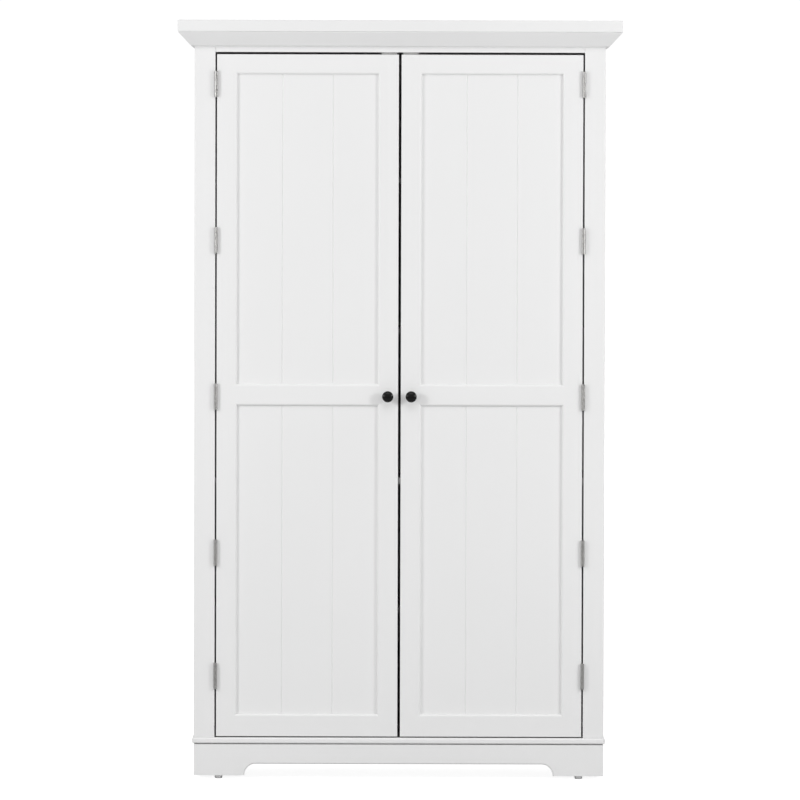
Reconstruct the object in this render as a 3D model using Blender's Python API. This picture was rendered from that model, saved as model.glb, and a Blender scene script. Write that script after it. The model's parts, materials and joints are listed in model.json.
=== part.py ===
"""Two-door pantry cabinet: a free-standing painted cupboard with a crown, shelves and a bracket plinth.

Metres, +Z up, front facing -Y. The origin is on the floor, under the middle of the whole cabinet.
Every physical piece is an object of its own. Each door's pieces hang on an empty that stands on the
door's hinge axis, so turning the empty about Z swings the door.
"""
import math

import bmesh
import bpy

# ------------------------------------------------------------------ overall sizes
HEIGHT = 1.830
BODY_WIDTH = 0.990
BODY_DEPTH = 0.360
TOP_OVERHANG = 0.040        # top board past the body, at the front and at both sides

# ------------------------------------------------------------------ boards
TOP_BOARD_T = 0.028
SIDE_T = 0.015
SHELF_T = 0.015
BASE_T = 0.0158
BACK_T = 0.005
REBATE_LIP = 0.007          # wood left outside the back panel's rebate
BASE_PROUD = 0.004          # base board past the body
BASE_NOSE = 0.006           # rounding of the base board's edge
TOP_EDGE_ROUND = 0.002
FIXED_SHELF_HEIGHT = 0.613  # underside of the fixed shelf above the base board
FIXED_SHELF_SETBACK = 0.003
SHELF_SETBACK = 0.045       # adjustable shelf behind the doors' backs
SHELF_PLAY = 0.001          # room round an adjustable shelf, at its sides and behind it
SHELVES_BELOW = 1           # adjustable shelves under the fixed one
SHELVES_ABOVE = 2

# ------------------------------------------------------------------ face frame and crown
FACE_T = 0.018
FACE_STILE_W = 0.050
FACE_RAIL_H = 0.048
CROWN_H = 0.0365            # height of the crown moulding under the top board
CROWN_BAND = 0.005          # upright band at its top
CROWN_SETBACK = 0.0015      # band in from the edge of the top board
CROWN_BEAD = 0.004          # height of the bead at its foot
CROWN_BEAD_REACH = 0.0045
CROWN_SLOPE_REACH = 0.0070  # where the slope starts, above the bead

# ------------------------------------------------------------------ plinth and glides
PLINTH_T = 0.020
PLINTH_H = 0.076
FOOT_WIDTH = 0.122          # bracket feet of the front board
SIDE_FOOT_WIDTH = 0.095
ARCH_HEIGHT = 0.028         # also the radius of the arch's two corners
GLIDE_H = 0.008
GLIDE_RADIUS = 0.0097
GLIDE_SOLE_RADIUS = 0.0062
GLIDE_SOLE_ROUND = 0.0013   # chamfer round the sole
GLIDE_RIM_H = 0.0018        # straight rim under the board
GLIDE_INSET = 0.060         # glide centre from the end of its board

# ------------------------------------------------------------------ doors
DOOR_T = 0.018
DOOR_GAP_SIDE = 0.004
DOOR_GAP_MIDDLE = 0.0065
DOOR_GAP_TOP = 0.0055
DOOR_GAP_BOTTOM = 0.0030
DOOR_STILE_W = 0.050
DOOR_RAIL_TOP_H = 0.048
DOOR_RAIL_MID_H = 0.0535
DOOR_RAIL_BOTTOM_H = 0.0545
DOOR_RAIL_MID_HEIGHT = 0.82515   # centre of the middle rail above the door's bottom edge
STICKING = 0.006            # 45-degree chamfer round each panel opening
PANEL_RECESS = 0.0073       # panel face behind the door's face
DOOR_PANEL_T = 0.006
GROOVE_DEPTH = 0.008
PANEL_PLAY = 0.001          # room between a panel or tenon and the bottom of its groove
PLANK_PITCH = 0.122
PLANK_GROOVE_W = 0.003
PLANK_GROOVE_DEPTH = 0.0015

# ------------------------------------------------------------------ hinges, knobs and catches
HINGE_LENGTH = 0.0635
HINGE_KNUCKLES = 5
BARREL_RADIUS = 0.0042
PIN_RADIUS = 0.0022
PIN_PLAY = 0.0004           # room round the pin in the door leaf's knuckles
KNUCKLE_GAP = 0.0004
LEAF_MIDDLE_GAP = 0.0006    # between the two leaves of a closed hinge
LEAF_START_GAP = 0.0005     # between a leaf's plate and the other leaf's barrel
LEAF_SETBACK = 0.001        # leaf edge in from the back of the thinner board
HINGE_TOP_INSET = 0.0715    # top hinge's centre below the door's top edge
HINGE_BOTTOM_INSET = 0.146
HINGE_LOW_SPACING = 0.298   # between the two lowest hinges
HINGE_COUNT = 5
KNOB_RADIUS = 0.0135
KNOB_LENGTH = 0.025
KNOB_DROP = 0.0037           # knob centre below the middle rail's centre
KNOB_FOOT = 0.60            # foot's share of the knob's radius
KNOB_PROFILE = (            # shares of the knob's radius and length, from the foot to the crown
    (KNOB_FOOT, 0.08), (0.40, 0.15), (0.37, 0.40), (0.56, 0.51), (0.92, 0.60),
    (1.0, 0.70), (0.94, 0.82), (0.72, 0.93), (0.38, 0.985))
CATCH_WIDTH = 0.038
CATCH_DEPTH = 0.012
CATCH_DROP = 0.021          # catch below the face rail's bottom edge
CATCH_BLOCK_RISE = 0.010
CATCH_FLANGE_RISE = 0.022
CATCH_FLANGE_T = 0.0025
CATCH_FLANGE_DROP = 0.001
CATCH_INSET = 0.026         # catch centre from the cabinet's middle
STRIKE_SPACE = 0.0018       # room for the strike plate on the door's back

# ------------------------------------------------------------------ fits
FIT = 0.0003                # gap between pieces that touch
MITRE_FIT = 0.0002          # taken off each side of a crown mitre
OVERSHOOT = 0.001           # how far a shaping tool runs past its blank
ROUND_SIDES = 16
KNOB_SIDES = 24
ARC_STEPS = 6
NOSE_STEPS = 3
TOP_EDGE_STEPS = 2

# ------------------------------------------------------------------ worked-out places
BODY_HALF = BODY_WIDTH / 2
DEPTH = BODY_DEPTH + TOP_OVERHANG
BACK = DEPTH / 2
FRONT = BACK - BODY_DEPTH                       # face of the frame and of the closed doors
CEILING = HEIGHT - TOP_BOARD_T
PLINTH_TOP = GLIDE_H + PLINTH_H
BASE_BOTTOM = PLINTH_TOP + FIT
BASE_TOP = BASE_BOTTOM + BASE_T
INNER_HALF = BODY_HALF - SIDE_T
OPENING_HALF = BODY_HALF - FACE_STILE_W
BACK_PANEL_FRONT = BACK - BACK_T
BEHIND_DOORS = FRONT + max(FACE_T, DOOR_T)
RAIL_BOTTOM = CEILING - FIT - FACE_RAIL_H
DOOR_BOTTOM = BASE_TOP + DOOR_GAP_BOTTOM
DOOR_TOP = RAIL_BOTTOM - DOOR_GAP_TOP
DOOR_OUTER = OPENING_HALF - DOOR_GAP_SIDE       # distance of the hinged edge from the middle
DOOR_INNER = DOOR_GAP_MIDDLE / 2
RAIL_MIDDLE = DOOR_BOTTOM + DOOR_RAIL_MID_HEIGHT
CROWN_REACH = TOP_OVERHANG - CROWN_SETBACK      # how far the band stands out from the body
HINGE_X = OPENING_HALF - DOOR_GAP_SIDE / 2
HINGE_Y = FRONT - BARREL_RADIUS - FIT
GROOVE_FRONT = PANEL_RECESS - FIT               # groove measured from the door's face
GROOVE_BACK = PANEL_RECESS + DOOR_PANEL_T + FIT
LEAF_T = DOOR_GAP_SIDE / 2 - FIT - LEAF_MIDDLE_GAP / 2
BORE_RADIUS = PIN_RADIUS + PIN_PLAY

SIDES = (("left", -1), ("right", 1))


# ------------------------------------------------------------------ materials
def make_material(name, colour, roughness, metallic=0.0):
    """Return a Principled material with one colour."""
    material = bpy.data.materials.new(name)
    material.use_nodes = True
    shader = material.node_tree.nodes["Principled BSDF"]
    shader.inputs["Base Color"].default_value = (*colour, 1.0)
    shader.inputs["Roughness"].default_value = roughness
    shader.inputs["Metallic"].default_value = metallic
    return material


def make_materials():
    """Return the cabinet's materials by name."""
    return {
        "paint": make_material("white_paint", (0.86, 0.86, 0.86), 0.45),
        "board": make_material("white_board", (0.82, 0.82, 0.82), 0.55),
        "backing": make_material("white_backing", (0.78, 0.78, 0.78), 0.60),
        "hinge": make_material("satin_steel", (0.66, 0.66, 0.65), 0.35, 1.0),
        "knob": make_material("black_knob", (0.015, 0.015, 0.015), 0.25, 0.6),
        "glide": make_material("bright_steel", (0.55, 0.55, 0.55), 0.30, 1.0),
        "catch": make_material("white_plastic", (0.75, 0.75, 0.74), 0.50),
    }


# ------------------------------------------------------------------ mesh helpers
def loft(rings):
    """Return a closed mesh through rings of points of equal length, capped at both ends."""
    mesh = bmesh.new()
    loops = [[mesh.verts.new(point) for point in ring] for ring in rings]
    for lower, upper in zip(loops, loops[1:]):
        for index in range(len(lower)):
            after = (index + 1) % len(lower)
            mesh.faces.new((lower[index], lower[after], upper[after], upper[index]))
    mesh.faces.new(loops[0])
    mesh.faces.new(loops[-1])
    bmesh.ops.recalc_face_normals(mesh, faces=mesh.faces)
    return mesh


def place(axis, along, pair):
    """Return the point at a distance along an axis, with its other two coordinates in order."""
    point = list(pair)
    point.insert("XYZ".index(axis), along)
    return tuple(point)


def prism(outline, axis, low, high):
    """Return a prism: an outline in the plane across an axis, extruded from low to high."""
    return loft([[place(axis, along, pair) for pair in outline] for along in (low, high)])


def box(x_range, y_range, z_range):
    """Return a box between three pairs of limits."""
    (left, right), (front, back) = x_range, y_range
    return prism([(left, front), (right, front), (right, back), (left, back)], "Z", *z_range)


def lathe(profile, sides):
    """Return a solid turned about Z from (radius, height) points that start and end on the axis."""
    mesh = bmesh.new()
    rings = []
    for radius, height in profile[1:-1]:
        ring = []
        for step in range(sides):
            angle = math.tau * step / sides
            ring.append(mesh.verts.new((radius * math.cos(angle), radius * math.sin(angle), height)))
        rings.append(ring)
    ends = [mesh.verts.new((0.0, 0.0, profile[index][1])) for index in (0, -1)]
    for step in range(sides):
        after = (step + 1) % sides
        mesh.faces.new((ends[0], rings[0][after], rings[0][step]))
        for lower, upper in zip(rings, rings[1:]):
            mesh.faces.new((lower[step], lower[after], upper[after], upper[step]))
        mesh.faces.new((ends[1], rings[-1][step], rings[-1][after]))
    bmesh.ops.recalc_face_normals(mesh, faces=mesh.faces)
    return mesh


def tubes(inner, outer, spans, sides):
    """Return upright tubes about Z, one for each (low, high) span, as one mesh."""
    mesh = bmesh.new()
    for low, high in spans:
        corners = ((inner, low), (outer, low), (outer, high), (inner, high))
        rings = []
        for radius, height in corners:
            ring = []
            for step in range(sides):
                angle = math.tau * step / sides
                ring.append(mesh.verts.new((radius * math.cos(angle), radius * math.sin(angle), height)))
            rings.append(ring)
        for first, second in zip(rings, rings[1:] + rings[:1]):
            for step in range(sides):
                after = (step + 1) % sides
                mesh.faces.new((first[step], first[after], second[after], second[step]))
    bmesh.ops.recalc_face_normals(mesh, faces=mesh.faces)
    return mesh


def to_object(name, mesh):
    """Return a new linked object that holds a bmesh, which is freed."""
    data = bpy.data.meshes.new(name)
    mesh.to_mesh(data)
    mesh.free()
    made = bpy.data.objects.new(name, data)
    bpy.context.collection.objects.link(made)
    return made


def combine(base, tool, operation):
    """Return the bmesh that a Boolean makes of two closed bmeshes."""
    base_object = to_object("combine_base", base)
    tool_object = to_object("combine_tool", tool)
    modifier = base_object.modifiers.new("combine", "BOOLEAN")
    modifier.operation = operation
    modifier.object = tool_object
    bpy.context.view_layer.update()
    evaluated = base_object.evaluated_get(bpy.context.evaluated_depsgraph_get())
    result = bmesh.new()
    result.from_mesh(evaluated.data)
    for temporary in (base_object, tool_object):
        data = temporary.data
        bpy.data.objects.remove(temporary)
        bpy.data.meshes.remove(data)
    return result


def round_edges(mesh, width, steps):
    """Round every edge of a board except the four round its back face."""
    edges = [edge for edge in mesh.edges if any(vertex.co.y < BACK - FIT for vertex in edge.verts)]
    bmesh.ops.bevel(mesh, geom=edges, offset=width, segments=steps, profile=0.5, affect="EDGES")


def shade_round(data, angle=35.0):
    """Shade a mesh smooth, except across edges sharper than an angle in degrees."""
    data.shade_smooth()
    data.set_sharp_from_angle(angle=math.radians(angle))


# ------------------------------------------------------------------ the cabinet
class Cabinet:
    """Adds the cabinet's pieces to the scene."""

    def __init__(self):
        self.materials = make_materials()

    def add(self, name, mesh, material, round_piece=False):
        """Add a piece whose mesh is in world coordinates, with its origin at the world's."""
        piece = to_object(name, mesh)
        piece.data.materials.append(self.materials[material])
        if round_piece:
            shade_round(piece.data)
        return piece

    def add_to_door(self, name, mesh, material, axis, round_piece=False):
        """Add a piece whose mesh is in world coordinates, hung on a door's axis."""
        bmesh.ops.translate(mesh, verts=mesh.verts, vec=-axis.location)
        piece = self.add(name, mesh, material, round_piece)
        piece.parent = axis
        return piece

    # -------------------------------------------------------------- carcass
    def boards(self):
        """Top board, base board, side panels, back panel and shelves."""
        reach = BODY_HALF + TOP_OVERHANG
        top = box((-reach, reach), (FRONT - TOP_OVERHANG, BACK), (CEILING, HEIGHT))
        round_edges(top, TOP_EDGE_ROUND, TOP_EDGE_STEPS)
        self.add("top_board", top, "paint")

        reach = BODY_HALF + BASE_PROUD
        nose = FRONT - BASE_PROUD
        base = box((-reach, reach), (nose, BACK), (BASE_BOTTOM, BASE_TOP))
        round_edges(base, BASE_NOSE, NOSE_STEPS)
        self.add("base_board", base, "paint")

        for side, sign in SIDES:
            front = FRONT + FACE_T + FIT
            lip = BODY_HALF - REBATE_LIP
            step = BACK_PANEL_FRONT - FIT
            outline = [(sign * x, y) for x, y in (
                (INNER_HALF, front), (BODY_HALF, front), (BODY_HALF, BACK),
                (lip, BACK), (lip, step), (INNER_HALF, step))]
            panel = prism(outline, "Z", BASE_TOP + FIT, CEILING - FIT)
            self.add(f"side_panel_{side}", panel, "paint")

        reach = BODY_HALF - REBATE_LIP - FIT
        back = box((-reach, reach), (BACK_PANEL_FRONT, BACK), (BASE_TOP + FIT, CEILING - FIT))
        self.add("back_panel", back, "backing")

    def shelves(self):
        """The fixed shelf, and adjustable shelves that share the space under and over it evenly."""
        behind = BACK_PANEL_FRONT - FIT
        fixed_bottom = BASE_TOP + FIXED_SHELF_HEIGHT
        reach = INNER_HALF - FIT
        fixed = box((-reach, reach), (BEHIND_DOORS + FIXED_SHELF_SETBACK, behind),
                    (fixed_bottom, fixed_bottom + SHELF_T))
        self.add("fixed_shelf", fixed, "board")

        bottoms = []
        for floor, ceiling, count in ((BASE_TOP, fixed_bottom, SHELVES_BELOW),
                                      (fixed_bottom + SHELF_T, CEILING, SHELVES_ABOVE)):
            clear = (ceiling - floor - count * SHELF_T) / (count + 1)
            bottoms += [floor + (index + 1) * clear + index * SHELF_T for index in range(count)]
        reach = INNER_HALF - SHELF_PLAY
        for number, bottom in enumerate(bottoms, start=1):
            shelf = box((-reach, reach), (BEHIND_DOORS + SHELF_SETBACK, behind - SHELF_PLAY),
                        (bottom, bottom + SHELF_T))
            self.add(f"adjustable_shelf_{number}", shelf, "board")

    def face_frame(self):
        """Two stiles and a top rail on the front edges of the side panels."""
        depth = (FRONT, FRONT + FACE_T)
        for side, sign in SIDES:
            width = sorted((sign * OPENING_HALF, sign * BODY_HALF))
            stile = box(width, depth, (BASE_TOP + FIT, CEILING - FIT))
            self.add(f"face_stile_{side}", stile, "paint")
        reach = OPENING_HALF - FIT
        rail = box((-reach, reach), depth, (RAIL_BOTTOM, CEILING - FIT))
        self.add("face_rail_top", rail, "paint")

    def crown(self):
        """Three lengths of sloping moulding under the top board, mitred at the front corners."""
        foot = CEILING - FIT - CROWN_H
        band = CEILING - FIT - CROWN_BAND
        section = [(FIT, foot), (CROWN_BEAD_REACH, foot), (CROWN_SLOPE_REACH, foot + CROWN_BEAD),
                   (CROWN_REACH, band), (CROWN_REACH, CEILING - FIT), (FIT, CEILING - FIT)]
        ends = []
        for sign in (-1, 1):
            ends.append([(sign * (BODY_HALF + reach - MITRE_FIT), FRONT - reach, height)
                         for reach, height in section])
        self.add("crown_front", loft(ends), "paint")
        for side, sign in SIDES:
            mitre = [(sign * (BODY_HALF + reach), FRONT - reach + MITRE_FIT, height)
                     for reach, height in section]
            square = [(x, BACK, height) for x, _, height in mitre]
            self.add(f"crown_{side}", loft([mitre, square]), "paint")

    # -------------------------------------------------------------- plinth
    @staticmethod
    def bracket(low, high, foot):
        """Return the outline of a plinth board from low to high, with an arch between its feet."""
        radius = ARCH_HEIGHT
        outline = [(low, PLINTH_TOP), (low, GLIDE_H)]
        for centre, start in ((low + foot + radius, math.pi), (high - foot - radius, math.pi / 2)):
            for step in range(ARC_STEPS + 1):
                angle = start - math.pi / 2 * step / ARC_STEPS
                outline.append((centre + radius * math.cos(angle), GLIDE_H + radius * math.sin(angle)))
        return outline + [(high, GLIDE_H), (high, PLINTH_TOP)]

    def plinth(self):
        """An arched front board across the body's width and an arched board behind it at each side."""
        outline = self.bracket(-BODY_HALF, BODY_HALF, FOOT_WIDTH)
        self.add("plinth_front", prism(outline, "Y", FRONT, FRONT + PLINTH_T), "paint")
        outline = self.bracket(FRONT + PLINTH_T + FIT, BACK, SIDE_FOOT_WIDTH)
        for side, sign in SIDES:
            width = sorted((sign * (BODY_HALF - PLINTH_T), sign * BODY_HALF))
            self.add(f"plinth_{side}", prism(outline, "X", *width), "paint")

    def glides(self):
        """Four steel glides, under the front board's ends and the side boards' rear ends."""
        top = GLIDE_H - FIT
        profile = [(0.0, 0.0), (GLIDE_SOLE_RADIUS, 0.0),
                   (GLIDE_SOLE_RADIUS + GLIDE_SOLE_ROUND, GLIDE_SOLE_ROUND),
                   (GLIDE_RADIUS, top - GLIDE_RIM_H), (GLIDE_RADIUS, top), (0.0, top)]
        places = {
            "front": (BODY_HALF - GLIDE_INSET, FRONT + PLINTH_T / 2),
            "rear": (BODY_HALF - PLINTH_T / 2, BACK - GLIDE_INSET),
        }
        for row, (x, y) in places.items():
            for side, sign in SIDES:
                turned = lathe(profile, ROUND_SIDES)
                glide = self.add(f"glide_{row}_{side}", turned, "glide", round_piece=True)
                glide.location = (sign * x, y, 0.0)

    def catches(self):
        """A magnetic catch for each door, on the back of the top rail."""
        flange = FRONT + FACE_T + FIT
        magnet = FRONT + DOOR_T + STRIKE_SPACE
        behind = max(flange, magnet) + CATCH_DEPTH
        step = RAIL_BOTTOM - CATCH_FLANGE_DROP
        outline = [(flange, RAIL_BOTTOM + CATCH_FLANGE_RISE), (flange, step), (magnet, step),
                   (magnet, RAIL_BOTTOM - CATCH_DROP), (behind, RAIL_BOTTOM - CATCH_DROP),
                   (behind, RAIL_BOTTOM + CATCH_BLOCK_RISE),
                   (flange + CATCH_FLANGE_T, RAIL_BOTTOM + CATCH_BLOCK_RISE),
                   (flange + CATCH_FLANGE_T, RAIL_BOTTOM + CATCH_FLANGE_RISE)]
        for side, sign in SIDES:
            middle = sign * CATCH_INSET
            catch = prism(outline, "X", middle - CATCH_WIDTH / 2, middle + CATCH_WIDTH / 2)
            self.add(f"magnetic_catch_{side}", catch, "catch")

    # -------------------------------------------------------------- doors
    @staticmethod
    def rail_section(low, high, chamfer_low, chamfer_high):
        """Return a rail's (y, z) outline, chamfered and grooved on the edges that face a panel."""
        outline = []
        for edge, inward, shaped in ((low, 1, chamfer_low), (high, -1, chamfer_high)):
            if shaped:
                half = [(FRONT, edge + inward * STICKING), (FRONT + STICKING, edge),
                        (FRONT + GROOVE_FRONT, edge), (FRONT + GROOVE_FRONT, edge + inward * GROOVE_DEPTH),
                        (FRONT + GROOVE_BACK, edge + inward * GROOVE_DEPTH), (FRONT + GROOVE_BACK, edge),
                        (FRONT + DOOR_T, edge)]
            else:
                half = [(FRONT, edge), (FRONT + DOOR_T, edge)]
            outline += half if inward > 0 else half[::-1]
        return outline

    @staticmethod
    def rail_plan(low, high):
        """Return the (x, y) outline of a rail: ends coped over the stiles' chamfers, with stub tenons."""
        slant = STICKING + OVERSHOOT
        tenon = GROOVE_DEPTH - PANEL_PLAY
        end = [(high - FIT + slant, FRONT - OVERSHOOT), (high - FIT, FRONT + STICKING),
               (high - FIT, FRONT + GROOVE_FRONT + FIT), (high + tenon, FRONT + GROOVE_FRONT + FIT),
               (high + tenon, FRONT + GROOVE_BACK - FIT), (high - FIT, FRONT + GROOVE_BACK - FIT),
               (high - FIT, FRONT + DOOR_T + OVERSHOOT)]
        return end + [(low + high - x, y) for x, y in reversed(end)]

    def door_frame(self, side, sign, axis):
        """Two full-height stiles, and three rails coped between them."""
        edges = {
            "outer": (DOOR_OUTER, DOOR_OUTER - DOOR_STILE_W),
            "inner": (DOOR_INNER, DOOR_INNER + DOOR_STILE_W),
        }
        for name, (plain, shaped) in edges.items():
            into = math.copysign(1.0, plain - shaped)
            outline = [(plain, FRONT), (shaped + into * STICKING, FRONT), (shaped, FRONT + STICKING),
                       (shaped, FRONT + GROOVE_FRONT), (shaped + into * GROOVE_DEPTH, FRONT + GROOVE_FRONT),
                       (shaped + into * GROOVE_DEPTH, FRONT + GROOVE_BACK), (shaped, FRONT + GROOVE_BACK),
                       (shaped, FRONT + DOOR_T), (plain, FRONT + DOOR_T)]
            outline = [(sign * x, y) for x, y in outline]
            self.add_to_door(f"door_{side}_stile_{name}", prism(outline, "Z", DOOR_BOTTOM, DOOR_TOP),
                             "paint", axis)

        low, high = sorted((sign * edges["outer"][1], sign * edges["inner"][1]))
        rails = {
            "bottom": (DOOR_BOTTOM, DOOR_BOTTOM + DOOR_RAIL_BOTTOM_H, False, True),
            "mid": (RAIL_MIDDLE - DOOR_RAIL_MID_H / 2, RAIL_MIDDLE + DOOR_RAIL_MID_H / 2, True, True),
            "top": (DOOR_TOP - DOOR_RAIL_TOP_H, DOOR_TOP, True, False),
        }
        for name, (bottom, top, chamfer_low, chamfer_high) in rails.items():
            reach = GROOVE_DEPTH + STICKING
            blank = prism(self.rail_section(bottom, top, chamfer_low, chamfer_high), "X",
                          low - reach, high + reach)
            plan = prism(self.rail_plan(low, high), "Z", bottom - OVERSHOOT, top + OVERSHOOT)
            self.add_to_door(f"door_{side}_rail_{name}", combine(blank, plan, "INTERSECT"), "paint", axis)

        hold = GROOVE_DEPTH - PANEL_PLAY
        openings = {
            "lower": (rails["bottom"][1], rails["mid"][0]),
            "upper": (rails["mid"][1], rails["top"][0]),
        }
        for name, (bottom, top) in openings.items():
            panel = prism(self.plank_outline(low - hold, high + hold), "Z", bottom - hold, top + hold)
            self.add_to_door(f"door_{side}_panel_{name}", panel, "paint", axis)

    @staticmethod
    def plank_outline(low, high):
        """Return a panel's (x, y) outline, its face cut by V grooves into planks."""
        face = FRONT + PANEL_RECESS
        middle = (low + high) / 2
        outline = [(low, face)]
        for groove in (middle - PLANK_PITCH / 2, middle + PLANK_PITCH / 2):
            outline += [(groove - PLANK_GROOVE_W / 2, face), (groove, face + PLANK_GROOVE_DEPTH),
                        (groove + PLANK_GROOVE_W / 2, face)]
        return outline + [(high, face), (high, face + DOOR_PANEL_T), (low, face + DOOR_PANEL_T)]

    def knob(self, side, sign, axis):
        """A turned knob with a foot, a neck and a domed head, on the inner stile."""
        profile = [(0.0, FIT), (KNOB_FOOT * KNOB_RADIUS, FIT)]
        profile += [(radius * KNOB_RADIUS, height * KNOB_LENGTH) for radius, height in KNOB_PROFILE]
        profile.append((0.0, KNOB_LENGTH))
        knob = self.add(f"knob_{side}", lathe(profile, KNOB_SIDES), "knob", round_piece=True)
        knob.parent = axis
        middle = sign * (DOOR_INNER + DOOR_STILE_W / 2)
        knob.location = (middle - axis.location.x, FRONT - axis.location.y, RAIL_MIDDLE - KNOB_DROP)
        knob.rotation_euler = (math.pi / 2, 0.0, 0.0)

    # -------------------------------------------------------------- hinges
    @staticmethod
    def knuckle_spans(first):
        """Return the (low, high) spans of every second knuckle, counted from the first."""
        length = HINGE_LENGTH / HINGE_KNUCKLES
        spans = []
        for index in range(first, HINGE_KNUCKLES, 2):
            low = -HINGE_LENGTH / 2 + index * length
            spans.append((low + KNUCKLE_GAP / 2, low + length - KNUCKLE_GAP / 2))
        return spans

    @staticmethod
    def leaf_plate(spans, sign):
        """Return a leaf with a tongue to each of its knuckles, to one side of the hinge's middle plane."""
        tip = (BARREL_RADIUS + BORE_RADIUS) / 2
        start = BARREL_RADIUS + LEAF_START_GAP
        end = BARREL_RADIUS + FIT + min(FACE_T, DOOR_T) - LEAF_SETBACK
        outline = [(end, HINGE_LENGTH / 2), (end, -HINGE_LENGTH / 2), (start, -HINGE_LENGTH / 2)]
        for low, high in spans:
            outline += [(start, low), (tip, low), (tip, high), (start, high)]
        outline.append((start, HINGE_LENGTH / 2))
        width = sorted((sign * LEAF_MIDDLE_GAP / 2, sign * (LEAF_MIDDLE_GAP / 2 + LEAF_T)))
        return prism(outline, "X", *width)

    def hinges(self, axes):
        """Loose-pin butt hinges in the side gaps, each a frame leaf with its pin and a door leaf."""
        frame_spans = self.knuckle_spans(0)
        door_spans = self.knuckle_spans(1)
        profile = [(0.0, frame_spans[0][0])]
        for low, high in frame_spans:
            profile += [(BARREL_RADIUS, low), (BARREL_RADIUS, high), (PIN_RADIUS, high)]
            profile.append((PIN_RADIUS, high + HINGE_LENGTH / HINGE_KNUCKLES + KNUCKLE_GAP))
        profile = profile[:-2] + [(0.0, frame_spans[-1][1])]
        barrel = lathe(profile, ROUND_SIDES)
        frame_leaf = combine(self.leaf_plate(frame_spans, -1), barrel, "UNION")
        rings = tubes(BORE_RADIUS, BARREL_RADIUS, door_spans, ROUND_SIDES)
        door_leaf = combine(self.leaf_plate(door_spans, 1), rings, "UNION")
        meshes = {}
        for name, mesh in (("frame", frame_leaf), ("door", door_leaf)):
            meshes[name] = bpy.data.meshes.new(f"hinge_{name}_leaf")
            mesh.to_mesh(meshes[name])
            mesh.free()
            meshes[name].materials.append(self.materials["hinge"])
            shade_round(meshes[name])

        lowest = DOOR_BOTTOM + HINGE_BOTTOM_INSET
        second = lowest + HINGE_LOW_SPACING
        spacing = (DOOR_TOP - HINGE_TOP_INSET - second) / (HINGE_COUNT - 2)
        heights = [lowest] + [second + index * spacing for index in range(HINGE_COUNT - 1)]
        for side, sign in SIDES:
            axis = axes[side]
            turn = math.pi if sign > 0 else 0.0
            for number, height in enumerate(heights, start=1):
                for name, mesh in meshes.items():
                    leaf = bpy.data.objects.new(f"hinge_{side}_{number}_{name}_leaf", mesh)
                    bpy.context.collection.objects.link(leaf)
                    leaf.rotation_euler = (0.0, turn, 0.0)
                    if name == "door":
                        leaf.parent = axis
                        leaf.location = (0.0, 0.0, height)
                    else:
                        leaf.location = (axis.location.x, axis.location.y, height)

    def door_axis(self, side, sign):
        """Return the empty that stands on a door's hinge axis at floor level."""
        axis = bpy.data.objects.new(f"door_{side}_axis", None)
        bpy.context.collection.objects.link(axis)
        axis.location = (sign * HINGE_X, HINGE_Y, 0.0)
        return axis

    def build(self):
        """Add every piece."""
        self.boards()
        self.shelves()
        self.face_frame()
        self.crown()
        self.plinth()
        self.glides()
        self.catches()
        axes = {}
        for side, sign in SIDES:
            axes[side] = self.door_axis(side, sign)
            self.door_frame(side, sign, axes[side])
            self.knob(side, sign, axes[side])
        self.hinges(axes)


def main():
    """Clear the scene and build the cabinet in it."""
    for leftover in list(bpy.data.objects):
        bpy.data.objects.remove(leftover)
    Cabinet().build()


main()
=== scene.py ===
"""White two-door pantry cabinet: the finished pieces and fittings round its frame, in a plain studio.

Metres, +Z up, front facing -Y, on the frame's own axes. Each class makes one sub-assembly's pieces where
the frame has them, dresses them, and hands them to the body that carries them.
"""

import json
import logging
import math
from collections.abc import Callable, Sequence
from dataclasses import dataclass
from enum import Enum

import bmesh
import bpy
from mathutils import Matrix, Quaternion, Vector

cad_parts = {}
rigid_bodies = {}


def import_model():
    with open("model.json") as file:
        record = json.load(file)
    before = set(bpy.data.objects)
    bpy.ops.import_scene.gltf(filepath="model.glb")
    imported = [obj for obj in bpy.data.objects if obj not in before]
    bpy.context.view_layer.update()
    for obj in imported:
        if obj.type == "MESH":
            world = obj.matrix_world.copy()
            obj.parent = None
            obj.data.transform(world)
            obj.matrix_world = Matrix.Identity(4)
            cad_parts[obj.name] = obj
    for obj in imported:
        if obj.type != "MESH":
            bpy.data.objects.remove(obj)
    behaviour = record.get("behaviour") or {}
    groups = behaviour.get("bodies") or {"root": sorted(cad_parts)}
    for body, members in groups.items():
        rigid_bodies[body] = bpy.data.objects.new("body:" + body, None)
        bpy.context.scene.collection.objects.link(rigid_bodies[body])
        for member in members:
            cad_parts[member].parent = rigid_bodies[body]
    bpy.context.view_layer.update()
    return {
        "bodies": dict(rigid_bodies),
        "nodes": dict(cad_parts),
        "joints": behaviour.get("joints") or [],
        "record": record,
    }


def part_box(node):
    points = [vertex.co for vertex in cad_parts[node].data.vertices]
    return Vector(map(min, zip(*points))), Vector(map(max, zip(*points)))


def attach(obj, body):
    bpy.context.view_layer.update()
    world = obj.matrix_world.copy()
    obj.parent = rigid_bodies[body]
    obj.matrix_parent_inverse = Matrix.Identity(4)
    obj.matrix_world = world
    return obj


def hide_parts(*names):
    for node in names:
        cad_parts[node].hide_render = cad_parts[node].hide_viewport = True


LOG = logging.getLogger("pantry_cabinet")

FIT = 0.0003            # gap that the frame keeps between pieces that touch
SEAM = 0.00005          # gap left where a painted joint closes up
TINY = 1e-5             # how near two measures have to be to count as the same
SHARP_ANGLE = math.radians(40.0)    # the least bend that is shaded as an arris
SPIN_SEED = 7           # for the turn of each screw head and pin
REARWARD = Vector((0.0, 1.0, 0.0))
DOWNWARD = Vector((0.0, 0.0, -1.0))

Pair = tuple[float, float]
Shade = tuple[float, float, float]


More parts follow.
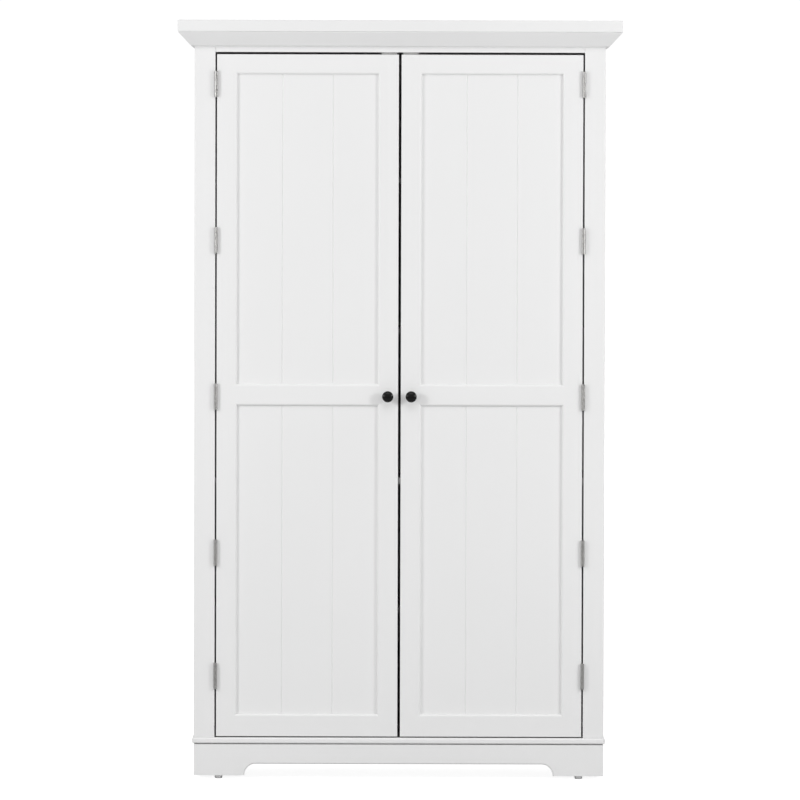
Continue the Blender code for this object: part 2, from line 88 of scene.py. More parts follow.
class Body(Enum):
    """The frame's bodies."""

    CARCASS = "carcass"
    DOOR_LEFT = "door_left"
    DOOR_RIGHT = "door_right"


class Side(Enum):
    """The cabinet's two sides, as the sign of their X."""

    LEFT = -1
    RIGHT = 1

    @property
    def word(self) -> str:
        """The side's name, as the nodes use it."""
        return self.name.lower()

    @property
    def door(self) -> Body:
        """The body of this side's door."""
        return Body(f"door_{self.word}")

    @property
    def inward(self) -> Vector:
        """The way from this side towards the cabinet's middle."""
        return Vector((-self.value, 0.0, 0.0))


class Axis(Enum):
    """An axis of the frame: the way a prism runs, or a board's grain."""

    X = 0
    Y = 1
    Z = 2


class Slot(Enum):
    """The record's material slots."""

    PAINT = "white_paint"
    SHELF = "shelf_board"
    BACK = "back_board"
    HINGE = "hinge_steel"
    KNOB = "knob_black"
    GLIDE = "glide_steel"
    CATCH = "catch_plastic"


@dataclass(frozen=True)
class Room:
    """The box that a node of the frame fills, by its lowest and highest corners."""

    low: Vector
    high: Vector

    @classmethod
    def of(cls, node: str) -> "Room":
        """Return the room of a node by its name."""
        return cls(*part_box(node))

    @property
    def middle(self) -> Vector:
        """The room's centre."""
        return (self.low + self.high) / 2

    @property
    def size(self) -> Vector:
        """The room's width, depth and height."""
        return self.high - self.low


# ------------------------------------------------------------------ objects and node trees
def set_down(name: str, data: bpy.types.ID) -> bpy.types.Object:
    """Put an object in the scene.

    Args:
        name: The object's name.
        data: What it holds: a mesh, a light or a camera.

    Returns:
        The new object, which stands at the origin.
    """
    made = bpy.data.objects.new(name, data)
    bpy.context.scene.collection.objects.link(made)
    return made


class Wiring:
    """A tree whose nodes are laid and wired one at a time."""

    def __init__(self, tree: bpy.types.NodeTree) -> None:
        """Take the tree that the nodes go into."""
        self.tree = tree

    def add(self, kind: str, wires: dict[str | int, object], **settings: object) -> bpy.types.Node:
        """Add a node.

        Args:
            kind: The node's type.
            wires: What each input takes, a socket or a plain value, by the input's name or number.
            settings: The node's own properties.

        Returns:
            The new node.
        """
        node = self.tree.nodes.new(kind)
        for key, value in settings.items():
            setattr(node, key, value)
        for key, value in wires.items():
            if isinstance(value, bpy.types.NodeSocket):
                self.tree.links.new(value, node.inputs[key])
            else:
                node.inputs[key].default_value = value
        return node

    def reckon(self, operation: str, first: object, second: object) -> bpy.types.NodeSocket:
        """Return the result of a Math operation on two numbers."""
        return self.add("ShaderNodeMath", {0: first, 1: second}, operation=operation).outputs[0]

    def multiply(self, first: object, second: object) -> bpy.types.NodeSocket:
        """Return the product of two numbers."""
        return self.reckon("MULTIPLY", first, second)


# ------------------------------------------------------------------ finishes
class Dresser(Wiring):
    """Lays the nodes of one material."""

    def __init__(self, name: str) -> None:
        """Start a material.

        Args:
            name: The material's name.
        """
        self.material = bpy.data.materials.new(name)
        self.material.use_nodes = True
        super().__init__(self.material.node_tree)
        self.shader = self.tree.nodes["Principled BSDF"]
        self.place = self.tree.nodes.new("ShaderNodeTexCoord").outputs["Object"]

    def plain(self, **values: object) -> None:
        """Set sockets of the shader that are the same all over, by name with underscores for spaces."""
        for key, value in values.items():
            self.shader.inputs[key.replace("_", " ")].default_value = value

    def noise(self, scale: float, detail: float = 2.0, along: Axis | None = None,
              stretch: float = 1.0) -> bpy.types.NodeSocket:
        """Return a noise pattern's strength.

        Args:
            scale: How many grains it has to a metre.
            detail: How many finer octaves it has.
            along: The axis that it is stretched along, if any.
            stretch: The scale along that axis, as a share.

        Returns:
            The pattern, from 0 to 1.
        """
        place = self.place
        if along is not None:
            scales = [1.0, 1.0, 1.0]
            scales[along.value] = stretch
            place = self.add("ShaderNodeMapping", {"Vector": place, "Scale": scales}).outputs["Vector"]
        wires = {"Vector": place, "Scale": scale, "Detail": detail}
        return self.add("ShaderNodeTexNoise", wires).outputs["Fac"]

    def span(self, source: bpy.types.NodeSocket, start: float, end: float, low: float = 0.0,
             high: float = 1.0) -> bpy.types.NodeSocket:
        """Return a value taken from the range start to end, to the range low to high, and held there."""
        wires = {"Value": source, "From Min": start, "From Max": end, "To Min": low, "To Max": high}
        return self.add("ShaderNodeMapRange", wires).outputs["Result"]

    def blend(self, factor: bpy.types.NodeSocket, first: object, second: object) -> bpy.types.NodeSocket:
        """Return a blend of two colours, each a colour or a socket; the factor is the second one's share."""
        wires = {"Factor": factor, 6: first, 7: second}
        return self.add("ShaderNodeMix", wires, data_type="RGBA").outputs[2]

    def relief(self, *layers: tuple[bpy.types.NodeSocket, float]) -> None:
        """Raise the surface by layers of bump.

        Args:
            layers: A height pattern and its full height in metres, for each layer.
        """
        normal = None
        for height, rise in layers:
            wires = {"Height": height, "Distance": rise, "Strength": 1.0}
            if normal is not None:
                wires["Normal"] = normal
            normal = self.add("ShaderNodeBump", wires).outputs["Normal"]
        self.tree.links.new(normal, self.shader.inputs["Normal"])

    def link(self, **sockets: bpy.types.NodeSocket) -> None:
        """Drive sockets of the shader by patterns, each by its name with underscores for spaces."""
        for key, value in sockets.items():
            self.tree.links.new(value, self.shader.inputs[key.replace("_", " ")])


def rgba(shade: Shade) -> tuple[float, float, float, float]:
    """Return a colour with full alpha."""
    return (*shade, 1.0)


@dataclass(frozen=True)
class Finish:
    """A surface finish. Its material is made once."""

    name: str

    def material(self) -> bpy.types.Material:
        """Find the finish's material, or make it.

        Returns:
            The material.
        """
        found = bpy.data.materials.get(self.name)
        if found is None:
            work = Dresser(self.name)
            self.dress(work)
            found = work.material
        return found

    def dress(self, work: Dresser) -> None:
        """Lay the nodes of the finish on a new material."""
        raise NotImplementedError


@dataclass(frozen=True)
class SatinPaint(Finish):
    """Sprayed satin lacquer over primed board, with the board's grain just showing through."""

    grain: Axis = Axis.Z
    shade: Shade = (0.85, 0.85, 0.85)
    cool: Shade = (0.838, 0.838, 0.838)
    worn: Shade = (0.81, 0.81, 0.808)
    roughness: Pair = (0.38, 0.48)
    grain_rise: float = 0.00003
    peel_rise: float = 0.000012

    def dress(self, work: Dresser) -> None:
        """Lay a grain along the board, orange peel over it, and rubbed arrises.

        Args:
            work: The dresser that holds the new material.
        """
        cloud = work.noise(scale=2.5, detail=3.0)
        fibres = work.noise(scale=260.0, detail=4.0, along=self.grain, stretch=0.02)
        peel = work.noise(scale=700.0, detail=1.0)
        rubs = work.noise(scale=45.0, detail=3.0)
        eased = work.add("ShaderNodeAttribute", {}, attribute_name="eased").outputs["Fac"]
        wear = work.multiply(work.span(rubs, 0.45, 0.75, high=0.6), eased)
        base = work.blend(work.span(cloud, 0.35, 0.65), rgba(self.shade), rgba(self.cool))
        work.link(Base_Color=work.blend(wear, base, rgba(self.worn)),
                  Roughness=work.span(cloud, 0.3, 0.7, *self.roughness))
        work.relief((fibres, self.grain_rise), (peel, self.peel_rise))


@dataclass(frozen=True)
class Laminate(Finish):
    """White melamine-faced board with a fine pebbled face."""

    shade: Shade = (0.80, 0.80, 0.80)
    dusty: Shade = (0.77, 0.77, 0.765)
    roughness: Pair = (0.46, 0.58)
    pebble_rise: float = 0.00002

    def dress(self, work: Dresser) -> None:
        """Lay the pebbled face and a faint haze.

        Args:
            work: The dresser that holds the new material.
        """
        cloud = work.noise(scale=6.0, detail=3.0)
        pebble = work.noise(scale=1400.0, detail=2.0)
        work.link(Base_Color=work.blend(work.span(cloud, 0.4, 0.7), rgba(self.shade), rgba(self.dusty)),
                  Roughness=work.span(pebble, 0.3, 0.7, *self.roughness))
        work.relief((pebble, self.pebble_rise))


@dataclass(frozen=True)
class Hardboard(Finish):
    """Bare brown hardboard, felted from short fibres."""

    shade: Shade = (0.33, 0.215, 0.125)
    pale: Shade = (0.43, 0.30, 0.19)
    dark: Shade = (0.20, 0.125, 0.07)
    roughness: Pair = (0.62, 0.82)
    fibre_rise: float = 0.00008

    def dress(self, work: Dresser) -> None:
        """Lay clouds of tone, short fibres and dark flecks.

        Args:
            work: The dresser that holds the new material.
        """
        cloud = work.noise(scale=5.0, detail=4.0)
        fibres = work.noise(scale=420.0, detail=4.0, along=Axis.Z, stretch=0.25)
        flecks = work.noise(scale=900.0, detail=1.0, along=Axis.X, stretch=0.3)
        tone = work.blend(work.span(cloud, 0.35, 0.65, high=0.6), rgba(self.shade), rgba(self.pale))
        felt = work.blend(work.span(fibres, 0.35, 0.7, high=0.5), tone, rgba(self.pale))
        work.link(Base_Color=work.blend(work.span(flecks, 0.62, 0.75, high=0.7), felt, rgba(self.dark)),
                  Roughness=work.span(fibres, 0.3, 0.7, *self.roughness))
        work.relief((fibres, self.fibre_rise))


@dataclass(frozen=True)
class Steel(Finish):
    """Plated steel, rubbed along one axis."""

    shade: Shade = (0.66, 0.655, 0.64)
    dull: Shade = (0.52, 0.515, 0.50)
    roughness: Pair = (0.26, 0.40)
    rub: Axis = Axis.Z
    rub_rise: float = 0.000008

    def dress(self, work: Dresser) -> None:
        """Lay fine rub lines, cloudy plating and its uneven gloss.

        Args:
            work: The dresser that holds the new material.
        """
        cloud = work.noise(scale=120.0, detail=3.0)
        lines = work.noise(scale=2600.0, detail=2.0, along=self.rub, stretch=0.04)
        work.plain(Metallic=1.0)
        tone = work.blend(work.span(cloud, 0.4, 0.7, high=0.8), rgba(self.shade), rgba(self.dull))
        work.link(Base_Color=tone, Roughness=work.span(lines, 0.3, 0.7, *self.roughness))
        work.relief((lines, self.rub_rise))


@dataclass(frozen=True)
class BlackLacquer(Finish):
    """Gloss black lacquer over a cast knob."""

    shade: Shade = (0.0015, 0.0015, 0.0015)
    rubbed: Shade = (0.005, 0.005, 0.005)
    specular: float = 0.3
    roughness: Pair = (0.11, 0.2)
    ripple_rise: float = 0.00001

    def dress(self, work: Dresser) -> None:
        """Lay a deep black with slight rubbing and casting ripple.

        Args:
            work: The dresser that holds the new material.
        """
        rub = work.noise(scale=180.0, detail=3.0)
        ripple = work.noise(scale=320.0, detail=1.0)
        work.plain(Specular_IOR_Level=self.specular)
        work.link(Base_Color=work.blend(work.span(rub, 0.5, 0.75), rgba(self.shade), rgba(self.rubbed)),
                  Roughness=work.span(rub, 0.3, 0.7, *self.roughness))
        work.relief((ripple, self.ripple_rise))


@dataclass(frozen=True)
class Plastic(Finish):
    """Moulded white plastic with a fine spark-eroded skin."""

    shade: Shade = (0.78, 0.78, 0.77)
    shadow: Shade = (0.72, 0.72, 0.705)
    roughness: Pair = (0.38, 0.5)
    skin_rise: float = 0.00001

    def dress(self, work: Dresser) -> None:
        """Lay the moulded skin and a little flow marking.

        Args:
            work: The dresser that holds the new material.
        """
        flow = work.noise(scale=60.0, detail=2.0)
        skin = work.noise(scale=2200.0, detail=1.0)
        work.link(Base_Color=work.blend(work.span(flow, 0.4, 0.7), rgba(self.shade), rgba(self.shadow)),
                  Roughness=work.span(skin, 0.3, 0.7, *self.roughness))
        work.relief((skin, self.skin_rise))


def paint(grain: Axis) -> SatinPaint:
    """Return the cabinet's paint on a board whose grain runs along an axis."""
    return SatinPaint(f"satin_paint_grain_{grain.name.lower()}", grain=grain)


LAMINATE = Laminate("shelf_laminate")
BARE_BACK = Hardboard("bare_hardboard")
HINGE_STEEL = Steel("satin_nickel", shade=(0.42, 0.416, 0.408), dull=(0.31, 0.308, 0.30),
                    roughness=(0.34, 0.48))
GLIDE_STEEL = Steel("bright_zinc", shade=(0.86, 0.86, 0.865), dull=(0.70, 0.70, 0.705),
                    roughness=(0.2, 0.34))
SCREW_STEEL = Steel("screw_zinc", shade=(0.60, 0.60, 0.585), dull=(0.40, 0.395, 0.38),
                    roughness=(0.3, 0.45))
KNOB_BLACK = BlackLacquer("black_lacquer")
CATCH_PLASTIC = Plastic("catch_plastic_white")


# ------------------------------------------------------------------ meshes
def finish_piece(name: str, data: bpy.types.Mesh, *finishes: Finish) -> bpy.types.Object:
    """Make a piece from a mesh in place: rounded parts smooth, flat parts flat.

    Args:
        name: The piece's name.
        data: Its mesh.
        finishes: Its finishes, by material index.

    Returns:
        The new object, which stands at the origin.
    """
    piece = set_down(name, data)
    data.name = name
    if data.materials:
        data.materials.clear()
    for finish in finishes:
        data.materials.append(finish.material())
    data.shade_smooth()
    data.set_sharp_from_angle(angle=SHARP_ANGLE)
    level = piece.modifiers.new("flat_faces", "WEIGHTED_NORMAL")
    level.keep_sharp = True
    return piece


def circle(radius: float, height: float, sides: int) -> list[Vector]:
    """Return the points of a level circle about Z."""
    angles = [math.tau * step / sides for step in range(sides)]
    return [Vector((radius * math.cos(angle), radius * math.sin(angle), height)) for angle in angles]


class Shape:
    """A closed mesh in the making."""

    def __init__(self) -> None:
        """Start an empty shape."""
        self.mesh = bmesh.new()
        self.eased = self.mesh.faces.layers.float.new("eased")

    def points(self, places: Sequence[Vector]) -> list[bmesh.types.BMVert]:
        """Add points at some places."""
        return [self.mesh.verts.new(place) for place in places]

    def band(self, lower: Sequence[bmesh.types.BMVert], upper: Sequence[bmesh.types.BMVert]) -> None:
        """Add a band of faces between two closed rings.

        Args:
            lower: The first ring's points.
            upper: The second ring's points, as many.
        """
        for index in range(len(lower)):
            after = (index + 1) % len(lower)
            self.mesh.faces.new((lower[index], lower[after], upper[after], upper[index]))

    def loft(self, rings: Sequence[Sequence[Vector]]) -> "Shape":
        """Add a skin through rings of points, capped at both ends.

        Args:
            rings: The rings, each with the same number of points.

        Returns:
            The shape.
        """
        loops = [self.points(ring) for ring in rings]
        for lower, upper in zip(loops, loops[1:]):
            self.band(lower, upper)
        self.mesh.faces.new(loops[0])
        self.mesh.faces.new(loops[-1])
        return self

    def prism(self, outline: Sequence[Pair], axis: Axis, low: float, high: float) -> "Shape":
        """Add an outline's prism.

        Args:
            outline: The outline's points, in the plane across the axis.
            axis: The way that the prism runs.
            low: Where it starts.
            high: Where it ends.

        Returns:
            The shape.
        """
        rings = []
        for along in (low, high):
            ring = []
            for pair in outline:
                point = list(pair)
                point.insert(axis.value, along)
                ring.append(Vector(point))
            rings.append(ring)
        return self.loft(rings)

    def box(self, low: Vector, high: Vector) -> "Shape":
        """Add a box between two corners."""
        outline = [(low.x, low.y), (high.x, low.y), (high.x, high.y), (low.x, high.y)]
        return self.prism(outline, Axis.Z, low.z, high.z)

    def turned(self, profile: Sequence[Pair], sides: int) -> "Shape":
        """Add a solid turned about Z.

        Args:
            profile: Its (radius, height) points, which start and end on the axis.
            sides: How many sides it has.

        Returns:
            The shape.
        """
        rings = [self.points(circle(radius, height, sides)) for radius, height in profile[1:-1]]
        ends = self.points([Vector((0.0, 0.0, profile[index][1])) for index in (0, -1)])
        for step in range(sides):
            after = (step + 1) % sides
            self.mesh.faces.new((ends[0], rings[0][after], rings[0][step]))
            for lower, upper in zip(rings, rings[1:]):
                self.mesh.faces.new((lower[step], lower[after], upper[after], upper[step]))
            self.mesh.faces.new((ends[1], rings[-1][step], rings[-1][after]))
        return self

    def tube(self, inner: float, outer: float, low: float, high: float, chamfer: float,
             sides: int) -> "Shape":
        """Add an upright tube about Z whose outer arrises are chamfered.

        Args:
            inner: The bore's radius.
            outer: The outer radius.
            low: Where it starts.
            high: Where it ends.
            chamfer: The chamfers' width.
            sides: How many sides it has.

        Returns:
            The shape.
        """
        corners = ((inner, low), (outer - chamfer, low), (outer, low + chamfer),
                   (outer, high - chamfer), (outer - chamfer, high), (inner, high))
        rings = [self.points(circle(radius, height, sides)) for radius, height in corners]
        for first, second in zip(rings, rings[1:] + rings[:1]):
            self.band(first, second)
        return self

    def ease(self, width: float, steps: int = 2,
             wanted: Callable[[Vector], bool] | None = None) -> "Shape":
        """Round the shape's sharp arrises.

        Args:
            width: How far the rounding reaches from each arris.
            steps: How many faces it has across.
            wanted: Says, from an edge's middle, whether that edge is rounded; all are without it.

        Returns:
            The shape.
        """
        bmesh.ops.recalc_face_normals(self.mesh, faces=self.mesh.faces)
        edges = []
        for edge in self.mesh.edges:
            middle = (edge.verts[0].co + edge.verts[1].co) / 2
            if edge.calc_face_angle(0.0) > SHARP_ANGLE / 2 and (wanted is None or wanted(middle)):
                edges.append(edge)
        made = bmesh.ops.bevel(self.mesh, geom=edges, offset=width, segments=steps, profile=0.5,
                               affect="EDGES", clamp_overlap=True)
        for face in made["faces"]:
            face[self.eased] = 1.0
        return self

    def move(self, matrix: Matrix) -> "Shape":
        """Take the shape through a matrix."""
        bmesh.ops.transform(self.mesh, matrix=matrix, verts=self.mesh.verts)
        return self

    def data(self, name: str) -> bpy.types.Mesh:
        """Make the shape a mesh with its faces outward, and let the shape go.

        Args:
            name: The mesh's name.

        Returns:
            The mesh.
        """
        bmesh.ops.recalc_face_normals(self.mesh, faces=self.mesh.faces)
        data = bpy.data.meshes.new(name)
        self.mesh.to_mesh(data)
        self.mesh.free()
        return data

    def piece(self, name: str, *finishes: Finish) -> bpy.types.Object:
        """Return the shape as a finished piece, and let the shape go."""
        return finish_piece(name, self.data(name), *finishes)

    def combine(self, tool: "Shape", operation: str) -> "Shape":
        """Return what a Boolean makes of this shape and another.

        Args:
            tool: The other shape.
            operation: UNION, DIFFERENCE or INTERSECT.

        Returns:
            A new shape; both others are let go.
        """
        objects = [set_down("combine", part.data("combine")) for part in (self, tool)]
        base, cutter = objects
        modifier = base.modifiers.new("combine", "BOOLEAN")
        modifier.operation = operation
        modifier.object = cutter
        graph = bpy.context.evaluated_depsgraph_get()
        result = Shape()
        result.mesh.from_mesh(base.evaluated_get(graph).data)
        result.eased = result.mesh.faces.layers.float["eased"]
        for made in objects:
            bpy.data.meshes.remove(made.data)
        return result


def rounded(points: Sequence[Pair], radii: Sequence[float], steps: int) -> list[Pair]:
    """Return an outline with an arc in place of each corner that has a radius.

    Args:
        points: The corners, in order.
        radii: Each corner's radius, 0 where it stays sharp.
        steps: How many steps each arc has.

    Returns:
        The outline's points.
    """
    made: list[Pair] = []
    for index, (corner, radius) in enumerate(zip(points, radii)):
        here = Vector(corner)
        if radius <= 0.0:
            made.append(tuple(here))
            continue
        before = (Vector(points[index - 1]) - here).normalized()
        after = (Vector(points[(index + 1) % len(points)]) - here).normalized()
        half = before.angle(after) / 2
        centre = here + (before + after).normalized() * radius / math.sin(half)
        start = here + before * radius / math.tan(half) - centre
        end = here + after * radius / math.tan(half) - centre
        sweep = start.angle_signed(end)
        for step in range(steps + 1):
            turn = -sweep * step / steps
            made.append((centre.x + start.x * math.cos(turn) - start.y * math.sin(turn),
                         centre.y + start.x * math.sin(turn) + start.y * math.cos(turn)))
    return made


def flowing(points: Sequence[Pair], steps: int) -> list[Pair]:
    """Draw a smooth curve through a few points, as a Catmull-Rom spline.

    Args:
        points: The points that it passes through.
        steps: How many steps it has from each to the next.

    Returns:
        The curve's points, both ends included.
    """
    ends = [points[0], *points, points[-1]]
    made: list[Pair] = []
    for index in range(len(points) - 1):
        before, start, end, after = (Vector(point) for point in ends[index:index + 4])
        for step in range(steps):
            t = step / steps
            made.append(tuple(0.5 * (2 * start + (end - before) * t
                                     + (2 * before - 5 * start + 4 * end - after) * t * t
                                     + (3 * start - before - 3 * end + after) * t * t * t)))
    return made + [points[-1]]


def sized(shares: Sequence[Pair], width: float, height: float) -> list[Pair]:
    """Return an outline from its points as shares of a width and a height."""
    return [(across * width, up * height) for across, up in shares]


# ------------------------------------------------------------------ things that repeat
@dataclass(frozen=True)
class Spot:
    """A place on a surface where something small stands, and the way that it faces."""

    place: Vector
    facing: Vector

    @staticmethod
    def mesh(spots: Sequence["Spot"]) -> bpy.types.Mesh:
        """Make bare points that carry their facing.

        Args:
            spots: Where they stand.

        Returns:
            A mesh of the points alone.
        """
        data = bpy.data.meshes.new("spots")
        data.from_pydata([spot.place for spot in spots], [], [])
        facing = data.attributes.new("facing", "FLOAT_VECTOR", "POINT")
        for point, spot in zip(facing.data, spots):
            point.vector = spot.facing
        return data


class Recipe(Wiring):
    """A geometry tree with named inputs, which grows a plain mesh."""

    def __init__(self, name: str, **inputs: float) -> None:
        """Start a tree.

        Args:
            name: What the tree makes.
            inputs: The numbers that it takes, with their usual values; underscores become spaces.
        """
        super().__init__(bpy.data.node_groups.new(name, "GeometryNodeTree"))
        face = self.tree.interface
        face.new_socket("Geometry", in_out="OUTPUT", socket_type="NodeSocketGeometry")
        face.new_socket("Geometry", in_out="INPUT", socket_type="NodeSocketGeometry")
        for label, value in inputs.items():
            kind = "NodeSocketInt" if isinstance(value, int) else "NodeSocketFloat"
            socket = face.new_socket(label.replace("_", " "), in_out="INPUT", socket_type=kind)
            socket.default_value = value
        face.new_socket("Finish", in_out="INPUT", socket_type="NodeSocketMaterial")
        self.start = self.tree.nodes.new("NodeGroupInput").outputs
        self.end = self.tree.nodes.new("NodeGroupOutput").inputs["Geometry"]

    def vector(self, x: object = 0.0, y: object = 0.0, z: object = 0.0) -> bpy.types.NodeSocket:
        """Return a vector made of three numbers."""
        return self.add("ShaderNodeCombineXYZ", {0: x, 1: y, 2: z}).outputs[0]

    def frustum(self, low: object, high: object, rise: object) -> bpy.types.NodeSocket:
        """Return a cone's frustum on the origin, by its two radii and its rise."""
        wires = {"Vertices": self.start["Sides"], "Radius Bottom": low, "Radius Top": high, "Depth": rise}
        return self.add("GeometryNodeMeshCone", wires).outputs["Mesh"]

    def block(self, size: bpy.types.NodeSocket) -> bpy.types.NodeSocket:
        """Return a box about the origin."""
        return self.add("GeometryNodeMeshCube", {"Size": size}).outputs["Mesh"]

    def cut(self, base: bpy.types.NodeSocket, tool: bpy.types.NodeSocket) -> bpy.types.NodeSocket:
        """Return a mesh with another taken out of it."""
        wires = {"Mesh 1": base, "Mesh 2": tool}
        return self.add("GeometryNodeMeshBoolean", wires, operation="DIFFERENCE", solver="EXACT").outputs[0]

    def shift(self, shape: bpy.types.NodeSocket, move: object = (0.0, 0.0, 0.0),
              turn: Sequence[float] = (0.0, 0.0, 0.0)) -> bpy.types.NodeSocket:
        """Return geometry turned, then moved.

        Args:
            shape: The geometry.
            move: The move, as a vector or a socket.
            turn: The turn about each axis, in radians.

        Returns:
            The geometry in its new place.
        """
        rotation = self.add("FunctionNodeEulerToRotation", {0: turn}).outputs[0]
        wires = {"Geometry": shape, "Translation": move, "Rotation": rotation}
        return self.add("GeometryNodeTransform", wires).outputs["Geometry"]

    def stand(self, points: bpy.types.NodeSocket, shape: bpy.types.NodeSocket) -> bpy.types.NodeSocket:
        """Set a shape on every point, along the point's facing and with a fixed random spin.

        Args:
            points: The points, which carry their facing.
            shape: The shape, standing up along Z.

        Returns:
            The shape's instances.
        """
        facing = self.add("GeometryNodeInputNamedAttribute", {"Name": "facing"}, data_type="FLOAT_VECTOR")
        upright = self.add("FunctionNodeAlignRotationToVector", {"Vector": facing.outputs[0]}, axis="Z")
        wires = {2: 0.0, 3: math.tau, "Seed": SPIN_SEED}
        turn = self.add("FunctionNodeRandomValue", wires, data_type="FLOAT")
        wires = {"Axis": (0.0, 0.0, 1.0), "Angle": turn.outputs[1]}
        spin = self.add("FunctionNodeAxisAngleToRotation", wires)
        wires = {0: upright.outputs[0], 1: spin.outputs[0]}
        rotation = self.add("FunctionNodeRotateRotation", wires, rotation_space="LOCAL")
        wires = {"Points": points, "Instance": shape, "Rotation": rotation.outputs[0]}
        return self.add("GeometryNodeInstanceOnPoints", wires).outputs["Instances"]

    def realize(self, copies: bpy.types.NodeSocket) -> bpy.types.NodeSocket:
        """Return instances made real."""
        return self.add("GeometryNodeRealizeInstances", {"Geometry": copies}).outputs["Geometry"]

    def repeat(self, points: bpy.types.NodeSocket, shape: bpy.types.NodeSocket) -> bpy.types.NodeSocket:
        """Return instances of a shape on points, all turned the same way."""
        wires = {"Points": points, "Instance": shape}
        return self.add("GeometryNodeInstanceOnPoints", wires).outputs["Instances"]

    def close(self, shape: bpy.types.NodeSocket) -> None:
        """End the tree: make the instances real and set their finish."""
        wires = {"Geometry": self.realize(shape), "Material": self.start["Finish"]}
        self.tree.links.new(self.add("GeometryNodeSetMaterial", wires).outputs["Geometry"], self.end)

    def grow(self, data: bpy.types.Mesh, finish: Finish, **values: float) -> bpy.types.Mesh:
        """Run the tree.

        Args:
            data: The mesh that it starts from.
            finish: The finish that it sets.
            values: Inputs that differ from their usual value, by name with underscores for spaces.

        Returns:
            The plain mesh that it makes.
        """
        carrier = set_down("carrier", data)
        modifier = carrier.modifiers.new("grow", "NODES")
        modifier.node_group = self.tree
        wanted = {label.replace("_", " "): value for label, value in values.items()}
        wanted["Finish"] = finish.material()
        for item in self.tree.interface.items_tree:
            if item.in_out == "INPUT" and item.name in wanted:
                modifier[item.identifier] = wanted[item.name]
        graph = bpy.context.evaluated_depsgraph_get()
        made = bpy.data.meshes.new_from_object(carrier.evaluated_get(graph), depsgraph=graph)
        bpy.data.objects.remove(carrier)
        return made


class ScrewRecipe(Recipe):
    """Cross-slotted screw heads on points: a cone's frustum with a cross cut into its face."""

    def __init__(self) -> None:
        """Build the tree."""
        super().__init__("screw_heads", Head_Radius=0.0028, Face_Radius=0.0025, Rise=0.0002, Sunk=0.0008,
                         Slot_Share=1.3, Slot_Width=0.0008, Slot_Depth=0.0007, Sides=20)
        depth = self.reckon("ADD", self.start["Rise"], self.start["Sunk"])
        head = self.frustum(self.start["Head Radius"], self.start["Face Radius"], depth)
        head = self.shift(head, self.vector(z=self.multiply(self.start["Sunk"], -1.0)))
        length = self.multiply(self.start["Face Radius"], self.start["Slot Share"])
        height = self.multiply(self.start["Slot Depth"], 2.0)
        for turn in (0.0, math.pi / 2):
            bar = self.block(self.vector(length, self.start["Slot Width"], height))
            head = self.cut(head, self.shift(bar, self.vector(z=self.start["Rise"]), (0.0, 0.0, turn)))
        self.close(self.stand(self.start["Geometry"], head))


class PegRecipe(Recipe):
    """Shelf pins on points: a round peg with a collar against the panel."""

    def __init__(self) -> None:
        """Build the tree."""
        super().__init__("shelf_pins", Radius=0.00245, Length=0.009, Sunk=0.008, Collar_Radius=0.0042,
                         Collar_Taper=0.9, Collar=0.0008, Sides=16)
        depth = self.reckon("ADD", self.start["Length"], self.start["Sunk"])
        peg = self.frustum(self.start["Radius"], self.start["Radius"], depth)
        peg = self.shift(peg, self.vector(z=self.multiply(self.start["Sunk"], -1.0)))
        rim = self.multiply(self.start["Collar Radius"], self.start["Collar Taper"])
        collar = self.frustum(self.start["Collar Radius"], rim, self.start["Collar"])
        union = self.add("GeometryNodeMeshBoolean", {"Mesh 2": peg}, operation="UNION", solver="EXACT")
        self.tree.links.new(collar, union.inputs["Mesh 2"])
        self.close(self.stand(self.start["Geometry"], union.outputs["Mesh"]))


class DiscRecipe(Recipe):
    """Low round heads on points, such as nail heads and cover caps."""

    def __init__(self) -> None:
        """Build the tree."""
        super().__init__("round_heads", Radius=0.0022, Taper=0.82, Rise=0.0005, Sides=10)
        rim = self.multiply(self.start["Radius"], self.start["Taper"])
        disc = self.frustum(self.start["Radius"], rim, self.start["Rise"])
        self.close(self.stand(self.start["Geometry"], disc))


class DrillRecipe(Recipe):
    """A board with two upright rows of blind holes drilled into one face, along X."""

    def __init__(self) -> None:
        """Build the tree."""
        super().__init__("pin_holes", Radius=0.0025, Depth=0.010, Pitch=0.032, Count=5, Columns=0.2,
                         X=0.0, Y=0.0, Z=0.0, Sides=16)
        sideways = (0.0, math.pi / 2, 0.0)
        rise = self.multiply(self.start["Pitch"], self.reckon("SUBTRACT", self.start["Count"], 1.0))
        rows = self.add("GeometryNodeMeshGrid", {
            "Size X": rise, "Size Y": self.start["Columns"],
            "Vertices X": self.start["Count"], "Vertices Y": 2}).outputs["Mesh"]
        rows = self.shift(rows, self.vector(self.start["X"], self.start["Y"], self.start["Z"]), sideways)
        drill = self.add("GeometryNodeMeshCylinder", {
            "Vertices": self.start["Sides"], "Radius": self.start["Radius"],
            "Depth": self.multiply(self.start["Depth"], 2.0)}).outputs["Mesh"]
        drills = self.realize(self.repeat(rows, self.shift(drill, turn=sideways)))
        self.close(self.cut(self.start["Geometry"], drills))


